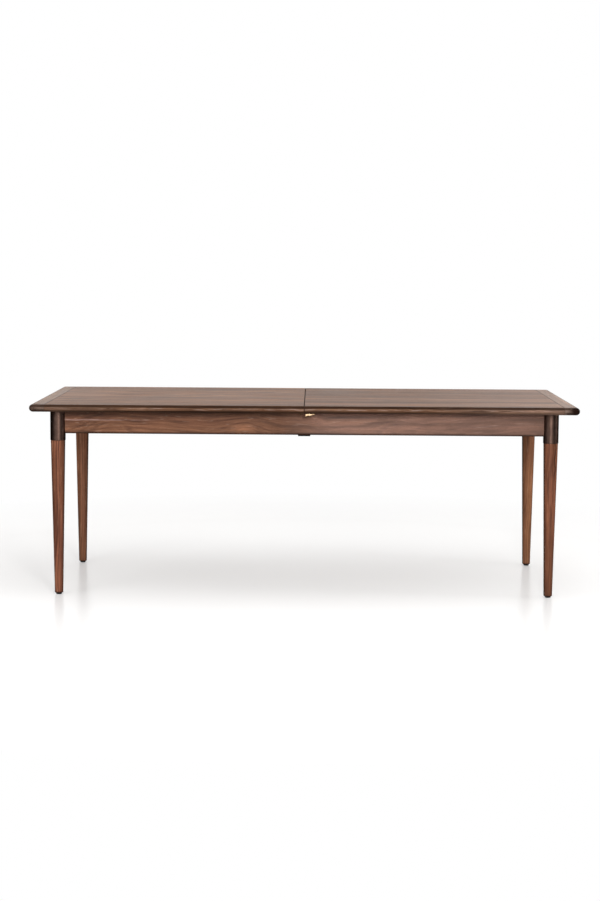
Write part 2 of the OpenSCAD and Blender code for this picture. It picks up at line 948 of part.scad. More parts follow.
leaf_pin_ys = [for (y = pin_ys) fold_y - y];

module leaf_panel(low) {
    color(walnut)
        difference() {
            along_x(-leaf_x, leaf_x) leaf_profile(low);
            pin_bores(leaf_x, leaf_pin_ys, low + edge_r, pin_out + loose_fit, seat_fit);
            pin_bores(-leaf_x, leaf_pin_ys, low + edge_r, pin_out + loose_fit, run_fit);
            for (x = hinge_xs)
                translate([x - hinge_l / 2 - run_fit, fold_y, z_fold])
                    rotate([0, 90, 0])
                        cylinder(d = barrel_d + 2 * run_fit, h = hinge_l + 2 * run_fit);
        }
}

module leaf_pins() {
    color(brass)
        for (low = [z_leaf_bottom, z_fold + hinge_t], y = leaf_pin_ys)
            translate([leaf_x - pin_out, y, low + edge_r])
                rotate([0, 90, 0])
                    cylinder(d = pin_d, h = 2 * pin_out);
}

// One leaf of a butt hinge; sense is -1 for the lower leaf and 1 for the upper one
module hinge_leaf(x, sense) {
    knuckle_l = hinge_l / knuckles;
    first = sense < 0 ? 0 : 1;
    sheet_t = hinge_t - knuckle_gap / 2;
    low = z_fold + (sense < 0 ? -hinge_t : knuckle_gap / 2);
    difference() {
        union() {
            translate([x - hinge_l / 2, fold_y - hinge_w, low])
                cube([hinge_l, hinge_w - barrel_d / 2 - run_fit, sheet_t]);
            for (i = [first:2:knuckles - 1])
                translate([x - hinge_l / 2 + i * knuckle_l, fold_y, 0]) {
                    translate([0, 0, z_fold])
                        rotate([0, 90, 0])
                            cylinder(d = barrel_d, h = knuckle_l - knuckle_gap);
                    translate([0, -barrel_d, low])
                        cube([knuckle_l - knuckle_gap, barrel_d, sheet_t]);
                }
        }
        translate([x, fold_y, z_fold])
            rotate([0, 90, 0])
                cylinder(d = hinge_pin_d + 2 * seat_fit, h = hinge_l + 2, center = true);
    }
}

module leaf_hinges() {
    color(brass)
        for (x = hinge_xs) {
            hinge_leaf(x, -1);
            hinge_leaf(x, 1);
            translate([x, fold_y, z_fold])
                rotate([0, 90, 0])
                    cylinder(d = hinge_pin_d, h = hinge_l, center = true);
        }
}

// Felts under the stored leaf, and between its panels along the edge away from the hinges
module leaf_felts() {
    color(felt)
        for (x = [-inner_rail_x, 0, inner_rail_x]) {
            for (s = [-1, 1])
                translate([x, s * fold_y / 2, z_leaf_rail])
                    felt_patch(felt_t);
            translate([x, edge_r + felt_l - fold_y, z_fold - hinge_t])
                felt_patch(2 * hinge_t);
        }
}

module felt_patch(thickness) {
    translate([-felt_w / 2, -felt_l / 2, 0]) cube([felt_w, felt_l, thickness]);
}

leg(-1, -1);  // leg_front_left
leg(1, -1);  // leg_front_right
leg(-1, 1);  // leg_back_left
leg(1, 1);  // leg_back_right
leg_cap(-1, -1);  // leg_cap_front_left
leg_cap(1, -1);  // leg_cap_front_right
leg_cap(-1, 1);  // leg_cap_back_left
leg_cap(1, 1);  // leg_cap_back_right
foot_glides();
long_apron(-1);  // apron_front
long_apron(1);  // apron_back
end_apron(-1);  // apron_left
end_apron(1);  // apron_right
corner_blocks();
leg_bolts();
outer_rail(-1);  // outer_rail_left
outer_rail(1);  // outer_rail_right
inner_rail(-1);  // inner_rail_left
inner_rail(1);  // inner_rail_right
centre_rail();
centre_strap();
strap_screws();
runner_guides(-1);  // runner_guides_front
runner_guides(1);  // runner_guides_back
top_glide_strips();
pinion(-1);  // pinion_front
pinion(1);  // pinion_back
pinion_axles();
leaf_panel(z_leaf_bottom);  // leaf_panel_lower
leaf_panel(z_fold + hinge_t);  // leaf_panel_upper
leaf_hinges();
leaf_pins();
leaf_felts();
top_panel(-1);  // top_panel_left
end_board(-1);  // end_board_left
runner(-1, -1);  // runner_left_front
runner(-1, 1);  // runner_left_back
rack(-1, -1);  // rack_left_front
rack(-1, 1);  // rack_left_back
cleats(-1);  // cleats_left
runner_screws(-1);  // runner_screws_left
stop_pins(-1);  // stop_pins_left
alignment_pins();
latch_keeper(-1);  // latch_keeper_front
latch_keeper(1);  // latch_keeper_back
top_panel(1);  // top_panel_right
end_board(1);  // end_board_right
runner(1, -1);  // runner_right_front
runner(1, 1);  // runner_right_back
rack(1, -1);  // rack_right_front
rack(1, 1);  // rack_right_back
cleats(1);  // cleats_right
runner_screws(1);  // runner_screws_right
stop_pins(1);  // stop_pins_right
latch_plate(-1);  // latch_plate_front
latch_plate(1);  // latch_plate_back
latch_lever(-1);  // latch_lever_front
latch_lever(1);  // latch_lever_back
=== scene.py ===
"""Looks of the extending dining table: its pieces, woods and metals, light, floor and camera."""

import math

import bmesh
import bpy
from mathutils import Matrix, Vector

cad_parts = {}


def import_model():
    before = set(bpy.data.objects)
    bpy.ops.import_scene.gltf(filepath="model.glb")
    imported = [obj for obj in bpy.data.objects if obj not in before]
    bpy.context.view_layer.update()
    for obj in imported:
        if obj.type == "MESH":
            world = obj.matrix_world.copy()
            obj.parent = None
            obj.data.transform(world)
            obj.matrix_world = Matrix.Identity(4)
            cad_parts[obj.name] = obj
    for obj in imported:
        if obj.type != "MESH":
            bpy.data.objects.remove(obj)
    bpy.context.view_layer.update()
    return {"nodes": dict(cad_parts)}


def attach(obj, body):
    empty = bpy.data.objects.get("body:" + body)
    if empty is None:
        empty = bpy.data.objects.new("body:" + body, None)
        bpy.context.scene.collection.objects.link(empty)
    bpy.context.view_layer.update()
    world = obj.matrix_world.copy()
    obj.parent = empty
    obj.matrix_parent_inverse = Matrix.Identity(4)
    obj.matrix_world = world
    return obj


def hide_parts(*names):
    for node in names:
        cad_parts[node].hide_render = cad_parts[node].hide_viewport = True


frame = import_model()

MM = 0.001
FIT = 0.05
PLAY = 0.3

# Table, in mm
HALF_L = 1067
HALF_W = 508
TABLE_H = 762
EDGE_R = 14.5
EDGE_Z = TABLE_H - EDGE_R
UNDER_Z = TABLE_H - 2 * EDGE_R
JOINT_X = HALF_L - 60
SEAM = 0.2
SEAM_BEVEL = 0.8
FRAME_Z = UNDER_Z - 2
APRON_Z = FRAME_Z - 90
APRON_T = 22
INNER_Y = 380
LEG_X = HALF_L - 98
LEG_Y = INNER_Y + APRON_T / 2
LEG_R = 28.5
FOOT_R = 16.75
CAP_Z = FRAME_Z - 117
CAP_R = 30
CAP_BORE_R = 26
CAP_FLOOR_Z = FRAME_Z - 4
CAP_EASE = 0.8
GLIDE_H = 6
GLIDE_R = 11.5
NAIL_R = 4
NAIL_Z = 24
CORNERS = [(-1, -1), (1, -1), (-1, 1), (1, 1)]
ROWS = {-1: "front", 1: "back"}
HALVES = {-1: "left", 1: "right"}
TOPS = {-1: "top_left", 1: "top_right"}

# Frame and leaf
RAIL_T = 22
CENTRE_RAIL_T = 44
OUTER_RAIL_X = 600
INNER_RAIL_X = 120
WELL_Z = APRON_Z + 27
FELT_T = 2
LEAF_HALF = HALF_W / 2
WELL_Y = LEAF_HALF + 4
BLOCK_NEAR = APRON_T / 2
BLOCK_REACH = 95
BLOCK_ZS = (APRON_Z + 15, FRAME_Z - 15)
BOLT_ZS = (APRON_Z + 27, FRAME_Z - 27)
BOLT_R = 4
BOLT_START = -12
NUT_FLATS = 13
WASHER_R = 11
STRAP_HALF = 24
STRAP_END = LEG_Y + APRON_T / 2
STRAP_Z = APRON_Z - 5
STRAP_YS = [LEG_Y * share for share in (-1, -0.5, 0, 0.5, 1)]
STRIP_XS = (324, 804)
STRIP_REACH = 35
STRIP_HALF = 7

# Screws
SCREW_R = 2.5
SCREW_HEAD_R = 5
CROSS_HALF = 0.55
CROSS_REACH = 2.9
CROSS_DEPTH = 1.6

# Runners and gears
LANE_Y = 318
LANE_IN = 21
LANE_OUT = 49
LANE_MID = (LANE_IN + LANE_OUT) / 2
GROOVE_IN = LANE_OUT - 6
GUIDE_WALL = LANE_OUT + PLAY
GUIDE_OUT = GUIDE_WALL + 3
RUNNER_Z = UNDER_Z - 38
GROOVE_ZS = (RUNNER_Z + 12, RUNNER_Z + 20)
RUNNER_ENDS = (-280.46, 620)
GUIDE_Z = RUNNER_Z - PLAY - 3
SCREW_XS = (40, 214, 420, 600)
STOP_X = 330
STOP_R = 4
CLEAT_XS = (313, 643)
CLEAT_YS = (-230, -77, 77, 230)
CLEAT_T = 16
CLEAT_HALF = 17
CLEAT_END = WELL_Y + 5
MODULE = 2
TEETH = 18
PITCH_R = MODULE * TEETH / 2
TOOTH_PITCH = math.pi * MODULE
BACKLASH = 0.2
PRESSURE = math.radians(20)
RACK_TEETH = (-3, 44)
RACK_Z = RUNNER_Z + 13
RACK_H = 12
RACK_BACK = 24.5
PINION_ZS = (RACK_Z + 1, RACK_Z + RACK_H - 1)
HUB_R = 11
HUB_Z = RUNNER_Z - 3
AXLE_R = 4

# Pins and latches
PIN_YS = (-350, -150, 150, 350)
PIN_R = 5
PIN_END = 15
LATCH_Y = HALF_W - 30
LATCH_X = 10
LEVER_Z = UNDER_Z - 4.8
LEVER_T = 2.5
LEVER_HALF = 7
HOOK_REACH = 24
HOOK_SLOT = 3.3
HOOK_TIP = 31.3
HOOK_ROUND = 3
HEAD_Z = LEVER_Z - PLAY
PLATE_Z = UNDER_Z - 2
PLATE_HALF = 9
PLATE_ROUND = 3.5
POST_X = LATCH_X - HOOK_REACH
TAB_START = -5
TAB_LENGTH = 26
TAB_RISE = 4
TAB_Z = LEVER_Z - 8
TAB_OUT = -9.5
TAB_ROLL_R = 1.6


# Mesh helpers: everything is drawn in mm

EASED_ANGLE = math.radians(30)
SHARP_ANGLE = math.radians(38)


def rod(radius, low, high):
    """Profile of a plain cylinder."""
    return [(0, low), (radius, low), (radius, high), (0, high)]


def mirrored(points):
    """Closes the right half of an outline with its mirror image."""
    return points + [(-a, b) for a, b in reversed(points)]


def soften(points, radius, steps=3, closed=True):
    """Rounds the corners of an outline of (a, b) points."""
    out = []
    last = len(points) - 1
    for i, corner in enumerate(points):
        if not closed and i in (0, last):
            out.append(corner)
            continue
        p = Vector(corner)
        before = Vector(points[i - 1]) - p
        after = Vector(points[(i + 1) % len(points)]) - p
        a = p + before.normalized() * min(radius, before.length * 0.45)
        b = p + after.normalized() * min(radius, after.length * 0.45)
        for k in range(steps + 1):
            share = k / steps
            out.append(tuple(a.lerp(p, share).lerp(p.lerp(b, share), share)))
    return out


def arc(centre, radius, start, end, steps):
    """Points on a circle from one angle to another, in degrees."""
    angles = [math.radians(start + (end - start) * i / steps) for i in range(steps + 1)]
    return [(centre[0] + radius * math.cos(a), centre[1] + radius * math.sin(a)) for a in angles]


def at(x, y, z):
    """The move from the origin to a place."""
    return Matrix.Translation((x, y, z))


def lathe(bm, profile, matrix=None, steps=48, closed=False):
    """Turns a profile of (radius, height) points about Z."""
    matrix = matrix or Matrix()
    rings = []
    for r, z in profile:
        if r < 1e-6:
            rings.append([bm.verts.new(matrix @ Vector((0, 0, z)))])
            continue
        angles = [math.tau * i / steps for i in range(steps)]
        rings.append([bm.verts.new(matrix @ Vector((r * math.cos(a), r * math.sin(a), z))) for a in angles])
    pairs = list(zip(rings, rings[1:]))
    if closed:
        pairs.append((rings[-1], rings[0]))
    for low, high in pairs:
        if len(low) == 1 and len(high) == 1:
            continue
        for i in range(steps):
            j = (i + 1) % steps
            corners = [low[i % len(low)], low[j % len(low)], high[j % len(high)], high[i % len(high)]]
            bm.faces.new(list(dict.fromkeys(corners)))


AXES = {
    "X": lambda a, b, along: (along, a, b),
    "Y": lambda a, b, along: (a, along, b),
    "Z": lambda a, b, along: (a, b, along),
}


def ease(bm, faces, width, steps):
    """Bevels the sharp edges among some faces."""
    bmesh.ops.recalc_face_normals(bm, faces=faces)
    edges = dict.fromkeys(e for f in faces for e in f.edges)
    sharp = [e for e in edges if len(e.link_faces) == 2 and e.calc_face_angle(0) > EASED_ANGLE]
    bmesh.ops.bevel(
        bm, geom=sharp, offset=width, segments=steps, profile=0.5, affect="EDGES", clamp_overlap=True
    )


def prism(bm, outline, axis, start, end, bevel=0.8, steps=3, matrix=None):
    """Carries an outline along an axis, with eased edges."""
    matrix = matrix or Matrix()
    spot = AXES[axis]
    rings = [[bm.verts.new(matrix @ Vector(spot(a, b, level))) for a, b in outline] for level in (start, end)]
    faces = [bm.faces.new(rings[0]), bm.faces.new(rings[1])]
    count = len(outline)
    for i in range(count):
        j = (i + 1) % count
        faces.append(bm.faces.new((rings[0][i], rings[0][j], rings[1][j], rings[1][i])))
    if bevel:
        ease(bm, faces, bevel, steps)


def block(bm, low, high, bevel=0.8):
    """A box between two corners, with eased edges."""
    outline = [(low[0], low[1]), (high[0], low[1]), (high[0], high[1]), (low[0], high[1])]
    prism(bm, outline, "Z", low[2], high[2], bevel)


def loft(bm, rings):
    """Skins a row of rings that have equal counts of points, and closes both ends."""
    drawn = [[bm.verts.new(p) for p in ring] for ring in rings]
    count = len(drawn[0])
    for low, high in zip(drawn, drawn[1:]):
        for i in range(count):
            j = (i + 1) % count
            bm.faces.new((low[i], low[j], high[j], high[i]))
    bm.faces.new(drawn[0])
    bm.faces.new(drawn[-1])
    bmesh.ops.remove_doubles(bm, verts=bm.verts, dist=0.002)


def add_object(name, data):
    """Puts some data in the scene as an object."""
    obj = bpy.data.objects.new(name, data)
    bpy.context.scene.collection.objects.link(obj)
    return obj


def stamp(bm, source, matrix):
    """Adds a copy of a drawn mesh at a place."""
    mesh = bpy.data.meshes.new("stamp")
    source.to_mesh(mesh)
    mesh.transform(matrix)
    bm.from_mesh(mesh)
    bpy.data.meshes.remove(mesh)


def cut(bm, cutter):
    """Takes one drawn mesh away from another."""
    objects = []
    for part in (bm, cutter):
        bmesh.ops.recalc_face_normals(part, faces=part.faces)
        mesh = bpy.data.meshes.new("cut")
        part.to_mesh(mesh)
        objects.append(add_object("cut", mesh))
    boolean = objects[0].modifiers.new("cut", "BOOLEAN")
    boolean.operation = "DIFFERENCE"
    boolean.solver = "EXACT"
    boolean.object = objects[1]
    graph = bpy.context.evaluated_depsgraph_get()
    result = bpy.data.meshes.new_from_object(objects[0].evaluated_get(graph))
    bm.clear()
    bm.from_mesh(result)
    for obj in objects:
        mesh = obj.data
        bpy.data.objects.remove(obj)
        bpy.data.meshes.remove(mesh)
    bpy.data.meshes.remove(result)
    cutter.free()


def place(name, bm, body, slot, material, *nodes):
    """Makes an object of a drawn mesh, which rides on its body and stands for its nodes."""
    bmesh.ops.recalc_face_normals(bm, faces=bm.faces)
    for face in bm.faces:
        face.smooth = True
    bm.transform(Matrix.Scale(MM, 4))
    mesh = bpy.data.meshes.new(name)
    bm.to_mesh(mesh)
    bm.free()
    mesh.set_sharp_from_angle(angle=SHARP_ANGLE)
    mesh.materials.append(material)
    obj = add_object(name, mesh)
    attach(obj, body)
    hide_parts(*nodes)
    weighted = obj.modifiers.new("weighted", "WEIGHTED_NORMAL")
    weighted.keep_sharp = True


def finish_node(node, material):
    """Gives a CAD node its finish."""
    obj = frame["nodes"][node]
    obj.data.materials.clear()
    obj.data.materials.append(material)


# Material helpers: places are in mm of the object's own space, and noise scales are per mm

def rgb(code):
    """Linear colour of a hex code."""
    parts = [int(code[i:i + 2], 16) / 255 for i in (1, 3, 5)]
    return (*[c / 12.92 if c <= 0.04045 else ((c + 0.055) / 1.055) ** 2.4 for c in parts], 1)


class Tree:
    """Short way to write the nodes of a material or of the world."""

    def __init__(self, name, owner=None):
        self.owner = owner or bpy.data.materials.new(name)
        self.owner.use_nodes = True
        self.tree = self.owner.node_tree
        self.tree.nodes.clear()

    def feed(self, socket, value):
        if isinstance(value, bpy.types.NodeSocket):
            self.tree.links.new(value, socket)
        elif value is not None:
            socket.default_value = value

    def node(self, kind, inputs, **settings):
        node = self.tree.nodes.new(kind)
        for key, value in settings.items():
            setattr(node, key, value)
        for key, value in inputs.items():
            self.feed(node.inputs[key], value)
        return node

    def split(self, vector):
        return list(self.node("ShaderNodeSeparateXYZ", {0: vector}).outputs)

    def join(self, x, y, z):
        return self.node("ShaderNodeCombineXYZ", {0: x, 1: y, 2: z}).outputs[0]

    def spot(self):
        """Where the shaded point lies in the object's own space, in mm."""
        axes = self.split(self.node("ShaderNodeTexCoord", {}).outputs["Object"])
        return [self.times(axis, 1 / MM) for axis in axes]

    def math(self, operation, a, b=None):
        return self.node("ShaderNodeMath", {0: a, 1: b}, operation=operation).outputs[0]

    def fold(self, operation, first, others):
        for other in others:
            first = self.math(operation, first, other)
        return first

    def add(self, first, *others):
        return self.fold("ADD", first, others)

    def times(self, first, *others):
        return self.fold("MULTIPLY", first, others)

    def most(self, first, *others):
        return self.fold("MAXIMUM", first, others)

    def absolute(self, value):
        return self.math("ABSOLUTE", value)

    def noise(self, vector, detail=2, rough=0.5, distort=0):
        inputs = {"Vector": vector, "Scale": 1, "Detail": detail, "Roughness": rough, "Distortion": distort}
        return self.node("ShaderNodeTexNoise", inputs)

    def pattern(self, axes, scales, detail=2, rough=0.5, distort=0):
        """Noise with its own scale on each axis."""
        scaled = [self.times(axis, scale) for axis, scale in zip(axes, scales)]
        return self.noise(self.join(*scaled), detail, rough, distort).outputs[0]

    def line_noise(self, w, detail=2, rough=0.5):
        inputs = {"W": w, "Scale": 1, "Detail": detail, "Roughness": rough}
        return self.node("ShaderNodeTexNoise", inputs, noise_dimensions="1D").outputs[0]

    def span(self, value, low, high, to_low=0, to_high=1):
        """Leads a value from one range to another, and holds it at both ends."""
        inputs = {0: value, 1: low, 2: high, 3: to_low, 4: to_high}
        return self.node("ShaderNodeMapRange", inputs).outputs[0]

    def near(self, value, place, reach):
        """1 at a place, falling to 0 at a reach on both sides of it."""
        return self.span(self.absolute(self.add(value, -place)), 0, reach, 1, 0)

    def mix(self, factor, a, b, blend="MIX"):
        inputs = {0: factor, 6: a, 7: b}
        return self.node("ShaderNodeMix", inputs, data_type="RGBA", blend_type=blend).outputs[2]

    def bump(self, height, distance, strength):
        inputs = {"Height": height, "Distance": distance * MM, "Strength": strength}
        return self.node("ShaderNodeBump", inputs).outputs[0]

    def surface(self, colour, roughness, normal, metallic=0, specular=0.5, tint=(1, 1, 1, 1)):
        inputs = {"Base Color": colour, "Roughness": roughness, "Normal": normal, "Metallic": metallic}
        shader = self.node("ShaderNodeBsdfPrincipled", inputs)
        shader.inputs["Specular IOR Level"].default_value = specular
        shader.inputs["Specular Tint"].default_value = tint
        self.node("ShaderNodeOutputMaterial", {0: shader.outputs[0]})
        return self.owner


# Noises of wood: scale along the grain, scale across it, detail, roughness, distortion
STREAKS = (0.005, 0.13, 3, 0.6, 0.3)
CLOUDS = (0.0017, 0.014, 2, 0.5, 0)
FIGURE = (0.0036, 0.048, 2.5, 0.6, 0.4)
FLECKS = (0.011, 0.21, 2, 0.5, 0)
FIBRES = (0.022, 1.1, 3, 0.65, 0)
PORES = (0.06, 2.6, 1, 0.5, 0)

LOG_LENGTH = 9000
BOARD_SHIFT = 200
BOARD_RISE = 70
BOARD_W = 127
# Dark brown of real stains and of painted shade on the woods.
STAIN_AND_SHADE = "#1d0f09"
# Dark tone of painted shade on the metals.
PAINTED_SHADE_TONE = "#22160f"


def glued_boards(t, along, a, b, width, seed):
    """Cuts each board from another place in the log, and gives it its own tone."""
    index = t.math("FLOOR", t.add(t.times(a, 1 / width), 0.5))
    pick = t.node("ShaderNodeTexWhiteNoise", {"W": t.add(index, seed)}, noise_dimensions="1D").outputs[1]
    red, green, blue = t.split(pick)
    a = t.add(a, t.times(index, -width), t.times(t.add(green, -0.5), BOARD_SHIFT))
    b = t.add(b, t.times(t.add(blue, -0.5), BOARD_RISE))
    return t.add(along, t.times(red, LOG_LENGTH)), a, b, blue


def round_pith(t, along, a, b, pith, sway, seed):
    """Measures the two axes across the grain from a pith line that sways."""
    bend = t.noise(t.join(t.add(t.times(along, 0.0016), seed), t.times(a, 0.003), t.times(b, 0.003)))
    sway_a, sway_b, _ = t.split(bend.outputs[1])
    a = t.add(a, -pith[0], t.times(t.add(sway_a, -0.5), sway))
    b = t.add(b, -pith[1], t.times(t.add(sway_b, -0.5), sway))
    return a, b


def wood(
    name, grain, pith, tones, contrast=0.22, grainy=1, flecks=0.55, plank=0, seed=0, ring=5,
    sway=60, rough=0.42, specular=0.16, stain_and_shade=None, sheen_and_streaks=None, sheen_and_streak_tone="#ac9488"
):
    """Wood with rings round a pith line along the grain.

    pith is where that line crosses the other two axes. tones run from pale to dark. A plank
    width glues the piece up from boards side by side. stain_and_shade gives where real stains
    and painted shade darken it, from 0 to 1. sheen_and_streaks gives how far the wood turns to
    the tone of sheen_and_streak_tone, for painted sheen and real pale streaks."""
    t = Tree(name)
    x, y, z = t.spot()
    along, a, b = {"X": (x, y, z), "Y": (y, x, z), "Z": (z, x, y)}[grain]
    pale, light, middle, dark = [rgb(tone) for tone in tones]
    board_tone = 0.5
    if plank:
        along, a, b, board_tone = glued_boards(t, along, a, b, plank, seed)
    a, b = round_pith(t, along, a, b, pith, sway, seed)

    def grown(kind):
        length, width, *look = kind
        return t.pattern((along, a, b), (length, width, width), *look)

    radius = t.math("SQRT", t.add(t.times(a, a), t.times(b, b)))
    rings = t.line_noise(t.times(radius, 1 / ring), 2.5, 0.55)
    heart = t.line_noise(t.add(t.times(radius, 0.028), seed), 1)
    streak = grown(STREAKS)
    figure = grown(FIGURE)
    fibre = grown(FIBRES)
    pores = t.span(grown(PORES), 0.6, 0.72)
    grain_dark = t.add(t.times(t.span(rings, 0.38, 0.72), 0.55), t.times(t.span(streak, 0.42, 0.7), 0.45))
    colour = t.mix(t.span(grown(CLOUDS), 0.3, 0.7), light, middle)
    colour = t.mix(t.times(grain_dark, grainy), colour, dark)
    colour = t.mix(t.span(heart, 0.55, 0.75, 0, 0.4), colour, dark)
    colour = t.mix(t.span(grown(FLECKS), 0.62, 0.76, 0, flecks), colour, pale)
    # Painted sheen, and real pale streaks.
    if sheen_and_streaks:
        colour = t.mix(sheen_and_streaks(t), colour, rgb(sheen_and_streak_tone))
    figured = t.span(figure, 0.3, 0.7, 1 - contrast, 1 + contrast)
    shade = t.times(t.span(fibre, 0.25, 0.75, 0.88, 1.12), figured)
    shade = t.add(shade, t.times(t.add(board_tone, -0.5), 0.35))
    colour = t.mix(1, colour, t.join(shade, shade, shade), "MULTIPLY")
    colour = t.mix(t.times(pores, 0.55), colour, dark)
    roughness = t.add(t.span(figure, 0.3, 0.7, rough - 0.06, rough + 0.08), t.times(pores, 0.15))
    # Real stains and painted shade, mixed towards a dark brown.
    if stain_and_shade:
        stain_and_shade_share = stain_and_shade(t)
        colour = t.mix(t.times(stain_and_shade_share, t.span(streak, 0.3, 0.7, 1, 0.84)), colour, rgb(STAIN_AND_SHADE))
        roughness = t.most(roughness, t.span(stain_and_shade_share, 0.5, 0.95))
    height = t.add(t.times(fibre, 0.5), t.times(pores, -1))
    return t.surface(colour, roughness, t.bump(height, 0.12, 0.6), specular=specular)


def metal(name, colour, other, rough, brush, mottle, metallic=1, specular=0.5, rim="#ffffff", painted_shade=None):
    """Metal with a mottled tone and fine lines; brush is how dense the lines are on each axis.

    rim tints what it mirrors at a grazing angle. painted_shade gives where painted shade darkens it, from 0
    to 1."""
    t = Tree(name)
    spot = t.spot()
    cloud = t.pattern(spot, (mottle,) * 3, 4, 0.6)
    lines = t.pattern(spot, brush, 3, 0.7)
    wear = t.span(t.add(t.times(cloud, 0.7), t.times(lines, 0.3)), 0.35, 0.65)
    roughness = t.add(t.span(lines, 0.3, 0.7, rough - 0.07, rough + 0.07), t.times(cloud, 0.06))
    tone = t.mix(wear, rgb(colour), rgb(other))
    # Painted shade.
    if painted_shade:
        tone = t.mix(painted_shade(t), tone, rgb(PAINTED_SHADE_TONE))
    return t.surface(tone, roughness, t.bump(lines, 0.03, 0.5), metallic, specular, rgb(rim))


def moulded(name, colour, other, rough):
    """Plastic or nylon with a fine grain and a faint change of tone."""
    t = Tree(name)
    spot = t.spot()
    cloud = t.pattern(spot, (0.04,) * 3, 3)
    grains = t.pattern(spot, (0.9,) * 3)
    roughness = t.span(cloud, 0.3, 0.7, rough - 0.06, rough + 0.06)
    return t.surface(t.mix(cloud, rgb(colour), rgb(other)), roughness, t.bump(grains, 0.04, 0.6), 0, 0.35)


def pressed_felt():
    """Felt of short crossed fibres."""
    t = Tree("felt")
    spot = t.spot()
    hairs = t.pattern(spot, (0.9, 2.6, 1.5), 4, 0.7, 1.5)
    tufts = t.pattern(spot, (0.22,) * 3, 3)
    colour = t.mix(t.span(hairs, 0.3, 0.7), rgb("#2b302c"), rgb("#4b524b"))
    return t.surface(colour, 0.95, t.bump(t.add(hairs, tufts), 0.3, 0.8), 0, 0.1)


# Marks of use, painted shade and painted sheen: each gives a share from 0 to 1

def painted_shade_lines(t, x, z, away):
    """Painted shade: dark lines along the crest and the underside of the half-round, broader towards the
    ends.
    """
    crest = t.add(z, -EDGE_Z, t.span(x, -400, 600, -9.5, -11))
    arris = t.span(t.absolute(crest), 4, 7.5, 0.93, 0)
    tone = t.most(t.span(x, -200, 800, 0.95, 0.6), t.span(away, 980, 1020, 0, 0.98))
    full_z = t.span(away, 980, 1010, EDGE_Z - 8, EDGE_Z - 5)
    return t.most(arris, t.times(t.span(z, EDGE_Z - 1, full_z), tone))


def edge_shade(t, x, away, over):
    """Darker stretches between those lines: the left half, the right end and the end grain."""
    end_grain = t.times(t.span(over, 0, 3), t.span(away, JOINT_X + 4, JOINT_X + 40))
    left = t.times(t.span(x, -900, 0, 0.62, 0.14), t.span(x, -1040, -990, 0.7, 1))
    right = t.span(x, 920, 1000, 0, 0.35)
    return t.add(t.times(end_grain, t.span(x, -1000, 1000, 0.36, 0.72)), t.add(left, right))


def edge_stain_and_shade(t):
    """Darkening of the half-round edge: painted shade along its crest and underside and at the rounded ends,
    darker stretches, real end grain and marks, dark joints, and darker towards the front of the top.
    """
    x, y, z = t.spot()
    away = t.absolute(x)
    over = t.add(t.absolute(y), EDGE_R - HALF_W)
    outside = t.add(away, EDGE_R - HALF_L)
    edge = t.span(t.most(over, outside), 1, 4)
    # Painted shade at the rounded ends of the top.
    tip = t.most(t.span(outside, 0.5, 4, 0, 0.84), t.span(outside, 8, 12.5, 0, 0.98))
    marks = t.span(t.pattern((x, y, z), (0.012, 0.09, 0.15)), 0.55, 0.62)
    marks = t.times(marks, t.near(z, EDGE_Z + 1, 9), 0.9)
    tone = t.times(edge, t.most(painted_shade_lines(t, x, z, away), edge_shade(t, x, away, over), marks, tip))
    seam = t.span(away, 1.4, 3, 0.95, 0)
    joint = t.times(t.near(away, JOINT_X + SEAM / 2, 3.2), 0.95)
    # Darker towards the front of the top.
    darker_front = t.times(t.span(y, 80 - HALF_W, 15 - HALF_W, 0, 0.38), t.span(over, 0, 2, 1, 0))
    return t.most(tone, darker_front, seam, joint)


def painted_apron_shade(t):
    """Painted shadow on an apron right under the top, painted shade along its lower edge, and darker towards
    its right end.
    """
    x, _, z = t.spot()
    # Painted shadow cast by the overhanging top.
    upper = t.times(t.span(z, FRAME_Z - 27, FRAME_Z), t.span(x, -200, 200, 0.6, 0.1))
    # Painted shade along the lower arris.
    lower = t.span(z, APRON_Z + 3, APRON_Z + 11, 0.95, 0)
    return t.most(upper, lower, t.span(x, 400, 900, 0, 0.2))


def leg_marks_and_shade(t):
    """Painted shade down the inner side of each leg, and sealed end grain at its foot.

    The right front leg has a dark streak near its top and darkens downwards; the left back leg darkens
    downwards as painted shade."""
    x, y, z = t.spot()
    right_front = t.times(t.span(x, 900, 920), t.span(y, -300, -320))
    left_back = t.times(t.span(x, -900, -920), t.span(y, 300, 320))
    low = t.times(right_front, t.span(z, 350, 0, 0, 0.45))
    # Painted shade low on the left back leg.
    low = t.add(low, t.times(left_back, t.span(z, 500, 0, 0, 0.4)))
    drift = t.times(t.line_noise(t.times(z, 0.014)), 12)
    streak = t.near(t.add(x, drift), LEG_X + 22, 4.5)
    streak = t.times(streak, right_front, t.span(z, 440, 500, 0, 0.95))
    # Painted shade down the side of each leg that faces the middle of the table.
    radius = t.span(z, GLIDE_H, CAP_Z, FOOT_R, LEG_R)
    heart = t.span(t.add(radius, t.absolute(x), -LEG_X), 1.5, 5.5, 1, 0)
    heart = t.times(heart, t.span(x, -500, 500, 0.65, 0.85))
    return t.most(low, streak, heart, t.span(z, GLIDE_H + 2, GLIDE_H + 8, 0.97, 0))


def apron_sheen_and_streak(t):
    """Painted sheen over the right half of the long aprons, and a real pale streak near their left end."""
    x, y, z = t.spot()
    drift = t.times(t.add(t.line_noise(t.times(x, 0.012)), -0.5), 5)
    streak = t.near(t.add(z, drift), FRAME_Z - 36, 5)
    faint = t.span(t.pattern((x, y, z), (0.026, 0.026, 0.26)), 0.4, 0.6, 0.2, 1)
    streak = t.times(streak, faint, t.span(x, -800, -580, 0.9, 0.2), t.span(x, -620, -560, 1, 0))
    # Painted sheen over the right half.
    return t.most(streak, t.span(x, -100, 100, 0, 0.32))


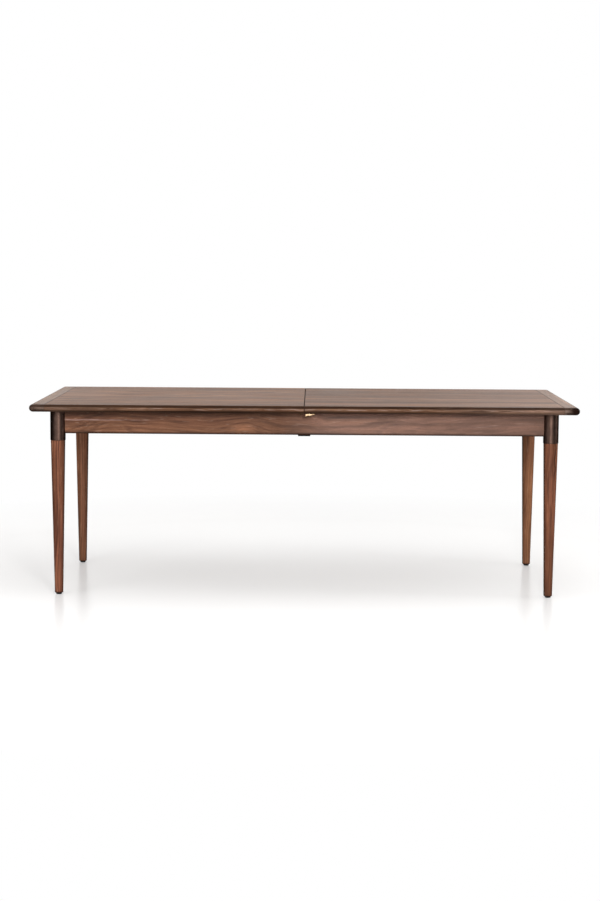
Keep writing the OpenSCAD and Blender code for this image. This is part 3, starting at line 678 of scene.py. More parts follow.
def end_sheen_and_dashes(t):
    """Painted sheen at the ends of the top, more at the right, and rubbed dashes along the half-round edge.
    """
    x, y, z = t.spot()
    painted_sheen = t.add(t.span(x, 450, 1000, 0, 0.3), t.span(x, -750, -1000, 0, 0.15))
    dashes = t.span(t.pattern((x, y, z), (0.017, 0.09, 0.38)), 0.53, 0.64)
    return t.most(painted_sheen, t.times(t.near(z, EDGE_Z + 0.5, 5), dashes, 0.8))


def cap_inner_shade(t):
    """Painted shade down the side of a leg cap that faces the middle of the table."""
    inner = LEG_X - CAP_R
    return t.span(t.absolute(t.spot()[0]), inner + 1.5, inner + 6, 0.75, 0)


def tab_edge_shade(t):
    """Painted shade along the sloping lower edge of a latch's thumb tab."""
    x, _, z = t.spot()
    slope = TAB_RISE / TAB_LENGTH
    low = TAB_Z - (LATCH_X + TAB_START) * slope
    return t.span(t.add(z, -low, t.times(t.absolute(x), -slope)), 1.2, 3.4, 0.9, 0)


# Materials

TOP_TONES = ("#b5907b", "#9b7459", "#805b43", "#452b1d")
END_TONES = ("#c4aa9a", "#a98e7c", "#937969", "#5f483c")
APRON_TONES = ("#c7a794", "#99694c", "#7c533d", "#40261c")
LEG_TONES = ("#b38869", "#986143", "#7b4a36", "#3b2018")
# Back legs a little lighter: painted light against the table's shade on them.
BACK_LEG_LIT_TONES = ("#c0977a", "#a9734f", "#8c5b43", "#472c21")
BEECH_TONES = ("#d0aa7e", "#c39a6c", "#b58a5c", "#93683f")


def top_wood(half):
    return wood(
        f"walnut_top_{HALVES[half]}", "X", (30 * half, 640), TOP_TONES, contrast=0.45 - 0.05 * half,
        plank=BOARD_W, seed=3 + 8 * half, rough=0.5, specular=0.09, stain_and_shade=edge_stain_and_shade, sheen_and_streaks=end_sheen_and_dashes
    )


def end_wood(half):
    return wood(
        f"walnut_end_{HALVES[half]}", "Y", (1020 * half, 660), END_TONES,
        seed=21 + 5 * half, rough=0.5, specular=0.09, stain_and_shade=edge_stain_and_shade, sheen_and_streaks=end_sheen_and_dashes
    )


def leg_wood(sx, sy):
    """Wood of a leg; the back ones are plainer, with lighter tones as painted light."""
    front = sy < 0
    return wood(
        f"walnut_leg_{ROWS[sy]}_{HALVES[sx]}", "Z",
        (sx * LEG_X + 70 * sy, sy * LEG_Y + 50 * sx), LEG_TONES if front else BACK_LEG_LIT_TONES,
        contrast=0.42 if front else 0.32, grainy=1 if front else 0.75, flecks=0.45,
        seed=51 + 3 * sx + 7 * sy, stain_and_shade=leg_marks_and_shade
    )


top_woods = {half: top_wood(half) for half in HALVES}
end_woods = {half: end_wood(half) for half in HALVES}
long_apron_wood = wood(
    "walnut_long_apron", "X", (-300, 630), APRON_TONES, contrast=0.34, ring=11, sway=140, flecks=0.35,
    seed=31, stain_and_shade=painted_apron_shade, sheen_and_streaks=apron_sheen_and_streak, sheen_and_streak_tone="#ab8b80"
)
end_apron_wood = wood("walnut_end_apron", "Y", (900, 620), APRON_TONES, seed=37, stain_and_shade=painted_apron_shade)
leaf_wood = wood("walnut_leaf", "X", (0, 600), TOP_TONES, plank=BOARD_W, seed=41)
leg_woods = {corner: leg_wood(*corner) for corner in CORNERS}
beech_along = wood("beech_along", "X", (250, 600), BEECH_TONES, seed=61, ring=3.5, rough=0.6, specular=0.3)
beech_across = wood("beech_across", "Y", (300, 580), BEECH_TONES, seed=67, ring=3.5, rough=0.6, specular=0.3)
# The near-black rim darkens grazing reflections: painted shade at the edges of the caps.
gunmetal = metal(
    "bronzed_steel", "#6c554b", "#503f39", 0.35, (0.42, 0.42, 0.009), 0.035, rim="#181818", painted_shade=cap_inner_shade
)
black_steel = metal("black_steel", "#060606", "#0c0b0b", 0.6, (0.06, 0.02, 0.06), 0.09, 0, 0.06)
zinc = metal("zinc_steel", "#b9b9b4", "#9a9b98", 0.3, (0.9, 0.9, 0.2), 0.12)
brass = metal("satin_brass", "#ecceaa", "#a9845c", 0.27, (0.12, 1.8, 0.3), 0.12, painted_shade=tab_edge_shade)
# Dark plates and keepers: old brass, darkened further as painted shade under the top.
shaded_aged_brass = metal("shaded_aged_brass", "#6f5636", "#3f2f1e", 0.36, (0.12, 1.8, 0.3), 0.16)
black_plastic = moulded("black_plastic", "#101010", "#1a1918", 0.5)
nylon = moulded("nylon", "#d5d0c4", "#e2ded4", 0.45)
felt = pressed_felt()


# Legs

def at_leg(sx, sy):
    return at(sx * LEG_X, sy * LEG_Y, 0)


def diagonal(sx, sy, z):
    """Turns +Z to point from the axis of a leg to the middle of the table."""
    turn = Matrix.Rotation(math.atan2(-sy, -sx), 4, "Z") @ Matrix.Rotation(math.radians(90), 4, "Y")
    return at(sx * LEG_X, sy * LEG_Y, z) @ turn


def legs():
    tenon_r = CAP_BORE_R - FIT
    tenon_z = CAP_FLOOR_Z - FIT
    foot = [(0, GLIDE_H), (FOOT_R - 2, GLIDE_H), (FOOT_R, GLIDE_H + 2), (LEG_R, CAP_Z - 1.2)]
    head = [(LEG_R - 1.2, CAP_Z), (tenon_r, CAP_Z), (tenon_r, tenon_z), (0, tenon_z)]
    profile = soften(foot + head, 0.8, closed=False)
    for sx, sy in CORNERS:
        bm = bmesh.new()
        lathe(bm, profile, at_leg(sx, sy), 96)
        name = f"leg_{ROWS[sy]}_{HALVES[sx]}"
        place(f"turned_{name}", bm, "base", "leg_walnut", leg_woods[sx, sy], name)


def caps():
    lip_r = CAP_R - CAP_EASE
    rim = [(CAP_BORE_R, CAP_Z), (lip_r, CAP_Z), (CAP_R, CAP_Z + CAP_EASE)]
    head = [(CAP_R, FRAME_Z - CAP_EASE), (lip_r, FRAME_Z), (0, FRAME_Z)]
    bore = [(0, CAP_FLOOR_Z), (CAP_BORE_R, CAP_FLOOR_Z)]
    profile = soften(rim + head + bore, 0.4, 2, closed=False)
    for sx, sy in CORNERS:
        bm = bmesh.new()
        lathe(bm, profile, at_leg(sx, sy), 96, closed=True)
        holes = bmesh.new()
        for z in BOLT_ZS:
            lathe(holes, rod(BOLT_R + 0.5, 0, 45), diagonal(sx, sy, z), 24)
        cut(bm, holes)
        name = f"leg_cap_{ROWS[sy]}_{HALVES[sx]}"
        place(f"spun_{name}", bm, "base", "cap_steel", gunmetal, name)


def glides():
    pad = [(0, 0), (GLIDE_R - 1.5, 0), (GLIDE_R, 1.5), (GLIDE_R, GLIDE_H)]
    nail = [(NAIL_R, GLIDE_H), (NAIL_R, NAIL_Z), (0, NAIL_Z)]
    bm = bmesh.new()
    for sx, sy in CORNERS:
        lathe(bm, soften(pad + nail, 0.6, closed=False), at_leg(sx, sy))
    place("nail_in_glides", bm, "base", "glide_plastic", black_plastic, "foot_glides")


# Frame

def apron_outline(reach, offset):
    """Plan of an apron along its first axis, with a hollow at each end for the caps."""
    hollow_r = CAP_R + FIT
    half = math.degrees(math.asin(APRON_T / 2 / hollow_r))
    right = arc((reach, offset), hollow_r, 180 + half, 180 - half, 10)
    left = arc((-reach, offset), hollow_r, half, -half, 10)
    return right + left


def apron(name, outline, material):
    bm = bmesh.new()
    prism(bm, outline, "Z", APRON_Z, FRAME_Z, 1)
    place(f"eased_{name}", bm, "base", "apron_walnut", material, name)


def aprons():
    for side in (-1, 1):
        apron(f"apron_{ROWS[side]}", apron_outline(LEG_X, side * LEG_Y), long_apron_wood)
        across = [(y, x) for x, y in apron_outline(LEG_Y, side * LEG_X)]
        apron(f"apron_{HALVES[side]}", across, end_apron_wood)


def corner_blocks():
    slant = (CAP_R + 4) * math.sqrt(2) - BLOCK_NEAR
    outline = [(BLOCK_NEAR, slant), (slant, BLOCK_NEAR), (BLOCK_REACH, BLOCK_NEAR), (BLOCK_NEAR, BLOCK_REACH)]
    bm = bmesh.new()
    for sx, sy in CORNERS:
        shape = [(sx * (LEG_X - a), sy * (LEG_Y - b)) for a, b in outline]
        prism(bm, shape, "Z", *BLOCK_ZS, 1.2)
    place("glued_corner_blocks", bm, "base", "beech", beech_across, "corner_blocks")


def thread(radius, start, end, pitch=1.25, depth=0.55):
    """Profile of a screw thread as close ridges."""
    points = []
    z = start
    while z + pitch <= end:
        points += [(radius - depth, z), (radius, z + pitch / 2)]
        z += pitch
    return points + [(radius - depth, end)]


def leg_bolt():
    """A bolt with its washer and nut, from the axis of a leg along +Z."""
    back = (BLOCK_NEAR + BLOCK_REACH) / math.sqrt(2)
    nut_z = back + 2
    tip = nut_z + 9.5
    hexagon = arc((0, 0), NUT_FLATS / math.sqrt(3), 0, 300, 5)
    point_r = BOLT_R - 0.4
    shank = [(0, BOLT_START), (point_r, BOLT_START), (BOLT_R, BOLT_START + 0.6), (BOLT_R, back - 30)]
    end = [(BOLT_R - 1, tip), (0, tip)]
    bore = BOLT_R + 0.3
    washer = [(bore, back), (WASHER_R, back), (WASHER_R, nut_z), (bore, nut_z)]
    bolt = bmesh.new()
    lathe(bolt, shank + thread(BOLT_R, back - 30, tip - 0.8) + end, None, 24)
    lathe(bolt, soften(washer, 0.4), None, 40, closed=True)
    prism(bolt, hexagon, "Z", nut_z, nut_z + 6.5, 0.6, 2)
    return bolt


def leg_bolts():
    bolt = leg_bolt()
    bm = bmesh.new()
    for sx, sy in CORNERS:
        for z in BOLT_ZS:
            stamp(bm, bolt, diagonal(sx, sy, z))
    bolt.free()
    place("threaded_leg_bolts", bm, "base", "bright_steel", zinc, "leg_bolts")


def outer_rails():
    for side in HALVES:
        low, high = sorted((LANE_Y - side * (LANE_IN - 1), LANE_Y - side * GUIDE_OUT))
        end = [(INNER_Y, APRON_Z), (INNER_Y, FRAME_Z)]
        notch = [(high, FRAME_Z), (high, GUIDE_Z), (low, GUIDE_Z), (low, FRAME_Z)]
        x = side * OUTER_RAIL_X
        bm = bmesh.new()
        prism(bm, mirrored(end + notch), "X", x - RAIL_T / 2, x + RAIL_T / 2)
        name = f"outer_rail_{HALVES[side]}"
        place(f"slotted_{name}", bm, "base", "beech", beech_across, name)


def stepped_rails():
    shelf = LANE_Y + GUIDE_OUT
    end = [(INNER_Y, APRON_Z), (INNER_Y, FRAME_Z), (shelf, FRAME_Z), (shelf, GUIDE_Z)]
    outline = mirrored(end + [(WELL_Y, GUIDE_Z), (WELL_Y, WELL_Z)])
    for name, x, thickness in (
        ("inner_rail_left", -INNER_RAIL_X, RAIL_T),
        ("inner_rail_right", INNER_RAIL_X, RAIL_T),
        ("centre_rail", 0, CENTRE_RAIL_T),
    ):
        bm = bmesh.new()
        prism(bm, outline, "X", x - thickness / 2, x + thickness / 2)
        place(f"stepped_{name}", bm, "base", "beech", beech_across, name)


def cross_head(profile, low):
    """A screw whose head points down, with a cross recess that narrows as it goes in."""
    screw = bmesh.new()
    lathe(screw, profile, None, 32)
    cross = bmesh.new()
    for a, b in ((CROSS_HALF, CROSS_REACH), (CROSS_REACH, CROSS_HALF)):
        corners = ((-a, -b), (a, -b), (a, b), (-a, b))
        mouth = [(p, q, low - 0.5) for p, q in corners]
        loft(cross, [mouth, [(p / 2, q / 2, low + CROSS_DEPTH) for p, q in corners]])
    cut(screw, cross)
    return screw


def strap():
    neck = STRAP_Z + 2.6
    through = APRON_Z + 1
    sink = [(0, STRAP_Z - 1), (5.4, STRAP_Z - 1), (5.3, STRAP_Z + 0.01), (SCREW_R + FIT, neck)]
    bm = bmesh.new()
    block(bm, (-STRAP_HALF, -STRAP_END, STRAP_Z), (STRAP_HALF, STRAP_END, APRON_Z))
    sinks = bmesh.new()
    for y in STRAP_YS:
        lathe(sinks, sink + [(SCREW_R + FIT, through), (0, through)], at(0, y, 0), 40)
    cut(bm, sinks)
    place("flat_centre_strap", bm, "base", "strap_steel", black_steel, "centre_strap")
    face = STRAP_Z + FIT
    head = [(0, face), (SCREW_HEAD_R - 0.3, face), (SCREW_HEAD_R, face + 0.2), (SCREW_R, neck)]
    screw = cross_head(head + [(SCREW_R, APRON_Z + 18), (0, APRON_Z + 18)], STRAP_Z)
    bm = bmesh.new()
    for y in STRAP_YS:
        stamp(bm, screw, at(0, y, 0))
    screw.free()
    place("countersunk_strap_screws", bm, "base", "bright_steel", zinc, "strap_screws")


def in_lane(side, lane, points):
    """Places a section in a lane beside the middle of a pair of runners."""
    return [(side * (LANE_Y + lane * d), z) for d, z in points]


def guide_shoe(bm, x, side, lane):
    tongue_in = GROOVE_IN + PLAY
    low, high = GROOVE_ZS[0] + PLAY, GROOVE_ZS[1] - PLAY
    floor_z = RUNNER_Z - PLAY
    outline = in_lane(side, lane, [
        (LANE_IN, GUIDE_Z), (GUIDE_OUT, GUIDE_Z), (GUIDE_OUT, high), (tongue_in, high),
        (tongue_in, low), (GUIDE_WALL, low), (GUIDE_WALL, floor_z), (LANE_IN, floor_z),
    ])
    prism(bm, outline, "X", x - RAIL_T / 2, x + RAIL_T / 2, 0.35, 2)


def guides():
    for side in ROWS:
        bm = bmesh.new()
        for half in HALVES:
            guide_shoe(bm, half * OUTER_RAIL_X, side, -half)
            for lane in (-1, 1):
                guide_shoe(bm, half * INNER_RAIL_X, side, lane)
        name = f"runner_guides_{ROWS[side]}"
        place(f"moulded_{name}", bm, "base", "nylon", nylon, name)


def glide_strips():
    bm = bmesh.new()

    def strip(x, y, reach_x, reach_y):
        block(bm, (x - reach_x, y - reach_y, FRAME_Z), (x + reach_x, y + reach_y, UNDER_Z), 0.5)

    for sx, sy in CORNERS:
        for x in STRIP_XS:
            strip(sx * x, sy * LEG_Y, STRIP_REACH, STRIP_HALF)
        strip(sx * LEG_X, sy * LEG_Y / 2, STRIP_HALF, STRIP_REACH)
    place("nylon_top_glide_strips", bm, "base", "nylon", nylon, "top_glide_strips")


# Gears

def pinion_outline():
    """Involute teeth, one of them on +Y."""
    base_r = PITCH_R * math.cos(PRESSURE)
    tip_r = PITCH_R + MODULE
    root_r = PITCH_R - 1.25 * MODULE
    half_tooth = (TOOTH_PITCH - BACKLASH) / (4 * PITCH_R)

    def half_angle(r):
        slope = math.acos(base_r / r)
        return half_tooth + math.tan(PRESSURE) - PRESSURE - math.tan(slope) + slope

    radii = [base_r + (tip_r - base_r) * i / 5 for i in range(6)]
    side = [(root_r, half_angle(base_r))] + [(r, half_angle(r)) for r in radii]
    points = []
    for k in range(TEETH):
        middle = math.pi / 2 + math.tau * k / TEETH
        points += [(r, middle - a) for r, a in side] + [(r, middle + a) for r, a in reversed(side)]
    return [(r * math.cos(a), r * math.sin(a)) for r, a in points]


def pinions():
    bore = AXLE_R + FIT
    hub_top = PINION_ZS[1] - 5
    face = PINION_ZS[1] + 0.02
    hub = soften([(bore, HUB_Z), (HUB_R, HUB_Z), (HUB_R, hub_top), (bore, hub_top)], 0.5)
    for side, row in ROWS.items():
        bm = bmesh.new()
        spot = at(0, side * LANE_Y, 0)
        prism(bm, pinion_outline(), "Z", *PINION_ZS, 0.25, 2, spot)
        lathe(bm, hub, spot, 64, closed=True)
        lathe(bm, [(bore, face), (HUB_R - 2, face), (HUB_R - 2, face - 1.02)], spot, 64)
        place(f"cut_pinion_{row}", bm, f"gear_{row}", "bright_steel", zinc, f"pinion_{row}")


def axles():
    head_z = PINION_ZS[1] + PLAY
    foot_z = GUIDE_Z - 18
    foot = [(0, foot_z), (AXLE_R - 1.6, foot_z), (AXLE_R - 1, foot_z + 0.7), (AXLE_R - 1, GUIDE_Z)]
    head = [(AXLE_R, GUIDE_Z), (AXLE_R, head_z), (7, head_z), (7, head_z + 4), (0, head_z + 4)]
    bm = bmesh.new()
    for side in ROWS:
        spot = at(0, side * LANE_Y, 0)
        part = bmesh.new()
        lathe(part, soften(foot + head, 0.4, 2, closed=False), spot, 40)
        socket = bmesh.new()
        prism(socket, arc((0, 0), 2.9, 0, 300, 5), "Z", head_z + 1.5, head_z + 4.7, 0, 1, spot)
        cut(part, socket)
        stamp(bm, part, Matrix())
        part.free()
    place("shoulder_pinion_axles", bm, "base", "bright_steel", zinc, "pinion_axles")


def racks():
    half_tooth = (TOOTH_PITCH - BACKLASH) / 4
    tip_w = half_tooth - MODULE * math.tan(PRESSURE)
    root_w = half_tooth + 1.25 * MODULE * math.tan(PRESSURE)
    tip = PITCH_R - MODULE
    root = PITCH_R + 1.25 * MODULE
    start, end = (n * TOOTH_PITCH for n in RACK_TEETH)
    outline = []
    for i in range(*RACK_TEETH):
        x = (i + 0.5) * TOOTH_PITCH
        outline += [(x - root_w, root), (x - tip_w, tip), (x + tip_w, tip), (x + root_w, root)]
    outline += [(end, root), (end, RACK_BACK), (start, RACK_BACK), (start, root)]
    for half in HALVES:
        for side in ROWS:
            points = [(-half * x, side * (LANE_Y - half * d)) for x, d in outline]
            bm = bmesh.new()
            prism(bm, points, "Z", RACK_Z, RACK_Z + RACK_H, 0.2, 2)
            name = f"rack_{HALVES[half]}_{ROWS[side]}"
            place(f"cut_{name}", bm, TOPS[half], "bright_steel", zinc, name)


# Runners of the top

def in_runner(half, side, x):
    """The underside of a runner at x, on its middle line."""
    return at(half * x, side * (LANE_Y - half * LANE_MID), RUNNER_Z)


def runners():
    low, high = GROOVE_ZS
    rabbet = RACK_BACK + FIT
    rabbet_low, rabbet_high = RACK_Z - FIT, RACK_Z + RACK_H + FIT
    outer = [(LANE_IN, RUNNER_Z), (LANE_OUT, RUNNER_Z), (LANE_OUT, low), (GROOVE_IN, low), (GROOVE_IN, high)]
    upper = [(LANE_OUT, high), (LANE_OUT, UNDER_Z), (LANE_IN, UNDER_Z)]
    inner = [(LANE_IN, rabbet_high), (rabbet, rabbet_high), (rabbet, rabbet_low), (LANE_IN, rabbet_low)]
    for half in HALVES:
        for side in ROWS:
            bm = bmesh.new()
            ends = sorted(half * x for x in RUNNER_ENDS)
            prism(bm, in_lane(side, -half, outer + upper + inner), "X", *ends, 0.6)
            holes = bmesh.new()
            for x in SCREW_XS:
                lathe(holes, rod(SCREW_HEAD_R + 0.5, -1, 8), in_runner(half, side, x), 32)
            lathe(holes, rod(STOP_R + FIT, -1, 19), in_runner(half, side, STOP_X), 32)
            cut(bm, holes)
            name = f"runner_{HALVES[half]}_{ROWS[side]}"
            place(f"grooved_{name}", bm, TOPS[half], "beech", beech_along, name)


def runner_hardware():
    face = 4 + FIT
    head = [(0, face), (SCREW_HEAD_R - 0.8, face), (SCREW_HEAD_R, face + 1.15), (SCREW_HEAD_R, 8)]
    head = soften(head + [(SCREW_R, 8), (SCREW_R, 56), (0, 56)], 0.4, 2, closed=False)
    pin = soften(rod(STOP_R, -12, 19 - FIT), 0.8, closed=False)
    for half, name in HALVES.items():
        body = TOPS[half]
        screw = cross_head(head, 4)
        screws, pins = bmesh.new(), bmesh.new()
        for side in ROWS:
            for x in SCREW_XS:
                stamp(screws, screw, in_runner(half, side, x))
            lathe(pins, pin, in_runner(half, side, STOP_X), 32)
        screw.free()
        place(f"pan_runner_screws_{name}", screws, body, "bright_steel", zinc, f"runner_screws_{name}")
        place(f"dowel_stop_pins_{name}", pins, body, "bright_steel", zinc, f"stop_pins_{name}")


def cleats():
    low = UNDER_Z - CLEAT_T
    sink = [(0, -1), (4.6, -1), (4.6, 0.3), (2.2, 3.2), (0, 3.2)]
    for half in HALVES:
        bm = bmesh.new()
        holes = bmesh.new()
        for x in CLEAT_XS:
            near, far = half * x - CLEAT_HALF, half * x + CLEAT_HALF
            block(bm, (near, -CLEAT_END, low), (far, CLEAT_END, UNDER_Z), 1.5)
            for y in CLEAT_YS:
                lathe(holes, sink, at(half * x, y, low), 24)
        cut(bm, holes)
        name = f"cleats_{HALVES[half]}"
        place(f"eased_{name}", bm, TOPS[half], "beech", beech_across, name)


# Top

def stadium(x, radius, top=TABLE_H, steps=20):
    """Section of the top at x, with half-round edges front and back."""
    y = HALF_W - EDGE_R
    front = arc((-y, EDGE_Z), radius, 90, 270, steps)
    back = arc((y, EDGE_Z), radius, -90, 90, steps)
    return [(x, a, min(b, top)) for a, b in front + back]


def across_seam(y):
    """A place on the seam at y, with +Z turned to +X."""
    return at(0, y, EDGE_Z) @ Matrix.Rotation(math.radians(90), 4, "Y")


def top_panels():
    low = TABLE_H - SEAM_BEVEL
    bore = [(0, -1), (PIN_R + 1.2, -1), (PIN_R + 1.2, 0.2), (PIN_R + PLAY, 1.1), (PIN_R + PLAY, 16), (0, 16)]
    for half in HALVES:
        rings = [stadium(half * SEAM, EDGE_R, low), stadium(half * (SEAM + SEAM_BEVEL), EDGE_R)]
        rings += [stadium(half * (JOINT_X - SEAM_BEVEL), EDGE_R), stadium(half * JOINT_X, EDGE_R, low)]
        bm = bmesh.new()
        loft(bm, rings)
        if half > 0:
            bores = bmesh.new()
            for y in PIN_YS:
                lathe(bores, bore, across_seam(y), 32)
            cut(bm, bores)
        name = f"top_panel_{HALVES[half]}"
        place(f"glued_{name}", bm, TOPS[half], "top_walnut", top_woods[half], name)


def end_boards(steps=20):
    round_x = HALF_L - EDGE_R
    joint = JOINT_X + SEAM
    for half in HALVES:
        rings = [stadium(half * joint, EDGE_R, TABLE_H - SEAM_BEVEL)]
        rings.append(stadium(half * (joint + SEAM_BEVEL), EDGE_R))
        for i in range(steps + 1):
            angle = math.radians(90 * i / steps)
            rings.append(stadium(half * (round_x + EDGE_R * math.sin(angle)), EDGE_R * math.cos(angle)))
        bm = bmesh.new()
        loft(bm, rings)
        name = f"end_board_{HALVES[half]}"
        place(f"rounded_{name}", bm, TOPS[half], "end_board_walnut", end_woods[half], name)


def alignment_pins():
    nose = [(PIN_R, PIN_END - 2), (PIN_R - 1.4, PIN_END), (0, PIN_END)]
    profile = soften([(0, -PIN_END), (PIN_R, -PIN_END)] + nose, 1.2, 4, closed=False)
    bm = bmesh.new()
    for y in PIN_YS:
        lathe(bm, profile, across_seam(y), 40)
    place("turned_alignment_pins", bm, "top_left", "brass", brass, "alignment_pins")


# Leaf

def leaf():
    """The two folded panels, with their rounded edges at the front and room for felts."""
    lower = WELL_Z + FELT_T
    fold = LEAF_HALF - 0.2
    reach = LEAF_HALF - 0.4
    for name, low in (("leaf_panel_lower", lower), ("leaf_panel_upper", lower + 2 * EDGE_R + FELT_T)):
        outline = arc((EDGE_R - LEAF_HALF, low + EDGE_R), EDGE_R, 90, 270, 20)
        outline += [(fold, low), (fold, low + 2 * EDGE_R)]
        bm = bmesh.new()
        prism(bm, outline, "X", -reach, reach, 0.6)
        place(f"glued_{name}", bm, "base", "top_walnut", leaf_wood, name)
    finish_node("leaf_felts", felt)
    finish_node("leaf_hinges", brass)
    finish_node("leaf_pins", brass)


# Latches

def lever_outline():
    """Plan of the lever, with a hook slot that follows the post's path round the pivot."""
    outer, inner = HOOK_REACH + HOOK_SLOT, HOOK_REACH - HOOK_SLOT
    top = math.degrees(math.asin(LEVER_HALF / outer))
    low = math.degrees(math.asin(LEVER_HALF / inner))
    corner = HOOK_TIP - HOOK_ROUND
    points = arc((0, 0), LEVER_HALF, 90, 270, 20)
    points += arc((corner, -LEVER_HALF + HOOK_ROUND), HOOK_ROUND, -90, 0, 6)
    points += arc((corner, LEVER_HALF - HOOK_ROUND), HOOK_ROUND, 0, 90, 6)
    points += arc((0, 0), outer, top, 0, 6)[:-1]
    points += arc((HOOK_REACH, 0), HOOK_SLOT, 0, -180, 12)
    points += arc((0, 0), inner, 0, low, 6)[1:]
    return points


def latch_spot(side, x):
    """A place at x on the line of the front latch, or mirrored for the back one."""
    flip = Matrix.Diagonal((1, 1 if side < 0 else -1, 1, 1))
    return flip @ at(x, -LATCH_Y, 0)


def thumb_tab(bm, spot):
    """The lever's tab, bent down at its outer side, with a rolled lower edge."""
    end = TAB_START + TAB_LENGTH
    top = LEVER_Z + LEVER_T
    outline = [(TAB_START, TAB_Z), (end, TAB_Z + TAB_RISE), (end, top), (TAB_START, top)]
    prism(bm, outline, "Y", TAB_OUT, -LEVER_HALF, 0.5, 3, spot)
    slant = math.atan(TAB_RISE / TAB_LENGTH)
    turn = Matrix.Rotation(math.pi / 2 - slant, 4, "Y")
    roll = soften(rod(TAB_ROLL_R, 0, TAB_LENGTH / math.cos(slant)), 0.5, closed=False)
    lathe(bm, roll, spot @ at(TAB_START, TAB_OUT, TAB_Z) @ turn, 24)


def rounded_plate(start, end, spot):
    """A thin plate under the top, with rounded corners."""
    outline = [(start, -PLATE_HALF), (end, -PLATE_HALF), (end, PLATE_HALF), (start, PLATE_HALF)]
    bm = bmesh.new()
    prism(bm, soften(outline, PLATE_ROUND, 6), "Z", PLATE_Z, UNDER_Z, 0.4, 2, spot)
    return bm


def stud(bm, shank_r, crown_r, head_r, spot):
    """A stud through a plate, with a domed head below the lever."""
    head = [(0, HEAD_Z - 1.6), (crown_r, HEAD_Z - 1.5), (head_r, HEAD_Z - 0.6), (head_r, HEAD_Z)]
    shank = [(shank_r, HEAD_Z), (shank_r, PLATE_Z + 1)]
    lathe(bm, soften(head + shank, 0.4, closed=False), spot, 40)


def latches():
    for side, name in ROWS.items():
        spot = latch_spot(side, LATCH_X)
        lever = bmesh.new()
        prism(lever, lever_outline(), "Z", LEVER_Z, LEVER_Z + LEVER_T, 0.4, 3, spot)
        thumb_tab(lever, spot)
        place(f"bent_latch_lever_{name}", lever, f"latch_{name}", "brass", brass, f"latch_lever_{name}")
        plate = rounded_plate(-LEVER_HALF, HOOK_TIP + 5.7, spot)
        stud(plate, 2.5, 2.6, 4.1, spot)
        place(f"riveted_latch_plate_{name}", plate, "top_right", "brass", shaded_aged_brass, f"latch_plate_{name}")
        keeper = rounded_plate(POST_X - 10, POST_X + 10, latch_spot(side, 0))
        stud(keeper, 3, 3.1, 4.6, latch_spot(side, POST_X))
        place(f"riveted_latch_keeper_{name}", keeper, "top_left", "brass", shaded_aged_brass, f"latch_keeper_{name}")


# Surroundings

SURROUND = 0.85
BACKDROP = 1.5
FLANKS = 0.12
MIRRORED_FLANKS = 0.02
FLOOR_REACH = 30000
FLOOR_SHEEN = 0.05
FLOOR_GLOW = 0.17
FLAG_X = 1500
FLAG_FADE = 800
FADE_START = 1800
FADE_END = 2900


def floor():
    """White floor that keeps the table's shadow and melts into the white background."""
    t = Tree("studio_floor")
    x, y, z = t.spot()
    cloud = t.pattern((x, y, z), (0.0008, 0.0008, 0.001))
    path = t.node("ShaderNodeLightPath", {})
    seen = path.outputs["Is Camera Ray"]
    colour = t.mix(seen, rgb("#c4c4c4"), rgb("#fbfbfb"))
    aside = t.span(t.absolute(x), FLAG_X, FLAG_X + FLAG_FADE)
    colour = t.mix(t.times(path.outputs["Is Glossy Ray"], aside), colour, rgb("#080808"))
    roughness = t.span(cloud, 0.3, 0.7, 0.24, 0.27)
    matt = t.node("ShaderNodeBsdfPrincipled", {"Base Color": colour, "Roughness": roughness})
    matt.inputs["Specular IOR Level"].default_value = FLOOR_SHEEN
    white = t.node("ShaderNodeEmission", {"Color": (1, 1, 1, 1), "Strength": 1})
    away = t.math("SQRT", t.add(t.times(x, x), t.times(y, y)))
    fade = t.times(seen, t.span(away, FADE_START, FADE_END, FLOOR_GLOW, 1))
    shown = t.node("ShaderNodeMixShader", {0: fade, 1: matt.outputs[0], 2: white.outputs[0]})
    t.node("ShaderNodeOutputMaterial", {0: shown.outputs[0]})
    mesh = bpy.data.meshes.new("floor")
    reach = FLOOR_REACH * MM
    corners = [(-reach, -reach, 0), (reach, -reach, 0), (reach, reach, 0), (-reach, reach, 0)]
    mesh.from_pydata(corners, [], [(0, 1, 2, 3)])
    mesh.materials.append(t.owner)
    obj = add_object("floor", mesh)


def world():
    """Dim surround with a white backdrop behind the table, plain white to the camera."""
    scene = bpy.context.scene
    scene.world = bpy.data.worlds.new("studio")
    t = Tree("studio", scene.world)
    x, y, z = t.split(t.node("ShaderNodeTexCoord", {}).outputs["Generated"])
    behind = t.times(t.span(y, 0.7, 0.92), t.span(z, 0.75, 0.25))
    beside = t.times(t.span(t.absolute(x), 0.25, 0.6), t.span(z, 0.8, 0.4))
    path = t.node("ShaderNodeLightPath", {})
    flank = t.span(path.outputs["Is Glossy Ray"], 0, 1, FLANKS, MIRRORED_FLANKS)
    surround = t.add(SURROUND, t.times(beside, t.add(flank, -SURROUND)))
    strength = t.add(surround, t.times(behind, BACKDROP - SURROUND))
    soft = t.node("ShaderNodeBackground", {"Color": (1, 0.99, 0.98, 1), "Strength": strength})
    white = t.node("ShaderNodeBackground", {"Color": (1, 1, 1, 1), "Strength": 1})
    shown = {0: path.outputs["Is Camera Ray"], 1: soft.outputs[0], 2: white.outputs[0]}
    t.node("ShaderNodeOutputWorld", {0: t.node("ShaderNodeMixShader", shown).outputs[0]})


WARM = (1, 0.99, 0.97)
COOL = (0.99, 0.99, 1)


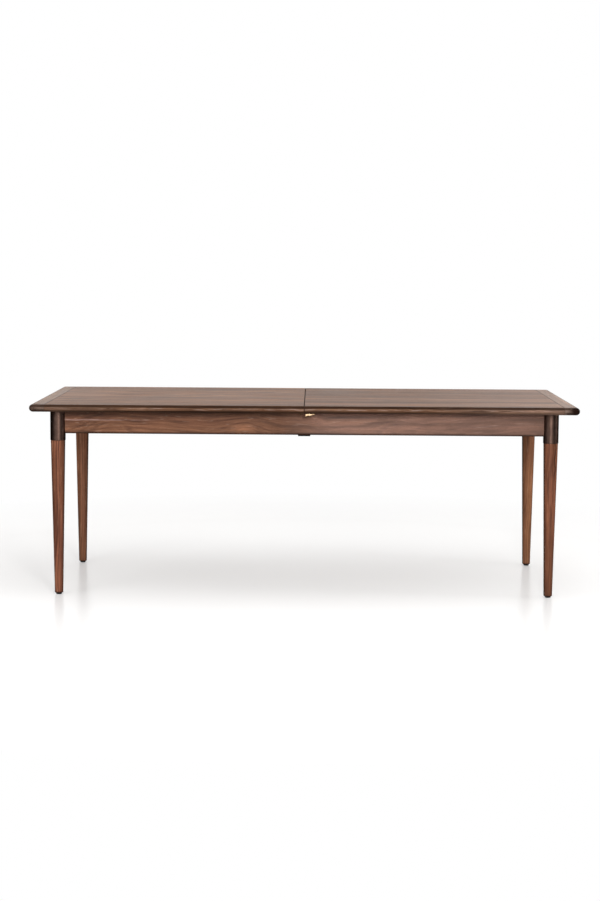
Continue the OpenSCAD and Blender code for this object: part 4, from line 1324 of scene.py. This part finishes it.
def lamp(name, spot, aim, size, power, colour=(1, 1, 1)):
    """An area lamp; places and sizes are in metres."""
    data = bpy.data.lights.new(name, "AREA")
    data.shape = "RECTANGLE"
    data.size, data.size_y = size
    data.energy = power
    data.color = colour
    obj = add_object(name, data)
    obj.location = spot
    obj.rotation_mode = "QUATERNION"
    obj.rotation_quaternion = (Vector(aim) - Vector(spot)).to_track_quat("-Z", "Y")


def lamps():
    lamp("overhead", (0.8, -0.8, 3), (0, 0, 0.5), (3.2, 3), 24)
    lamp("key", (0.6, -5.2, 1.75), (0, 0, 0.6), (0.7, 0.9), 112, WARM)
    lamp("side", (4.2, -0.9, 1.6), (0.9, 0, 0.5), (0.6, 1.8), 29)
    lamp("fill", (-2.9, -2.9, 1.7), (0, 0, 0.4), (1.5, 1.1), 35, COOL)
    lamp("front_strip", (0.55, -5.4, 0.6), (0, 0, 0.6), (0.14, 1), 2.6)
    lamp("right_strip", (4.1, -0.9, 0.55), (0.9, 0, 0.55), (0.2, 0.9), 1.9)
    lamp("left_strip", (-2.7, -4, 0.55), (-0.9, 0, 0.55), (0.7, 0.9), 2.2)


CAMERA_SPOT = (0.03987, -7.8516, 1.3525)
YAW = -0.0075
PITCH = 0.1034
ROLL = 0.0062
LENS = 76.15
SENSOR_W = 36


def camera():
    """The photograph's viewpoint: a place in metres and three angles in radians."""
    level = Vector((math.cos(YAW), -math.sin(YAW), 0))
    ahead = Vector((math.sin(YAW), math.cos(YAW), 0))
    forward = ahead * math.cos(PITCH) - Vector((0, 0, math.sin(PITCH)))
    raised = level.cross(forward)
    right = level * math.cos(ROLL) + raised * math.sin(ROLL)
    up = raised * math.cos(ROLL) - level * math.sin(ROLL)
    data = bpy.data.cameras.new("camera")
    data.lens = LENS
    data.sensor_width = SENSOR_W
    obj = add_object("camera", data)
    turn = Matrix((right, up, -forward)).transposed().to_4x4()
    obj.matrix_world = at(*CAMERA_SPOT) @ turn
    bpy.context.scene.camera = obj


legs()
caps()
glides()
aprons()
corner_blocks()
leg_bolts()
outer_rails()
stepped_rails()
strap()
guides()
glide_strips()
pinions()
axles()
racks()
runners()
runner_hardware()
cleats()
top_panels()
end_boards()
alignment_pins()
leaf()
latches()
floor()
world()
lamps()
camera()

bpy.context.scene.view_settings.view_transform = "Standard"
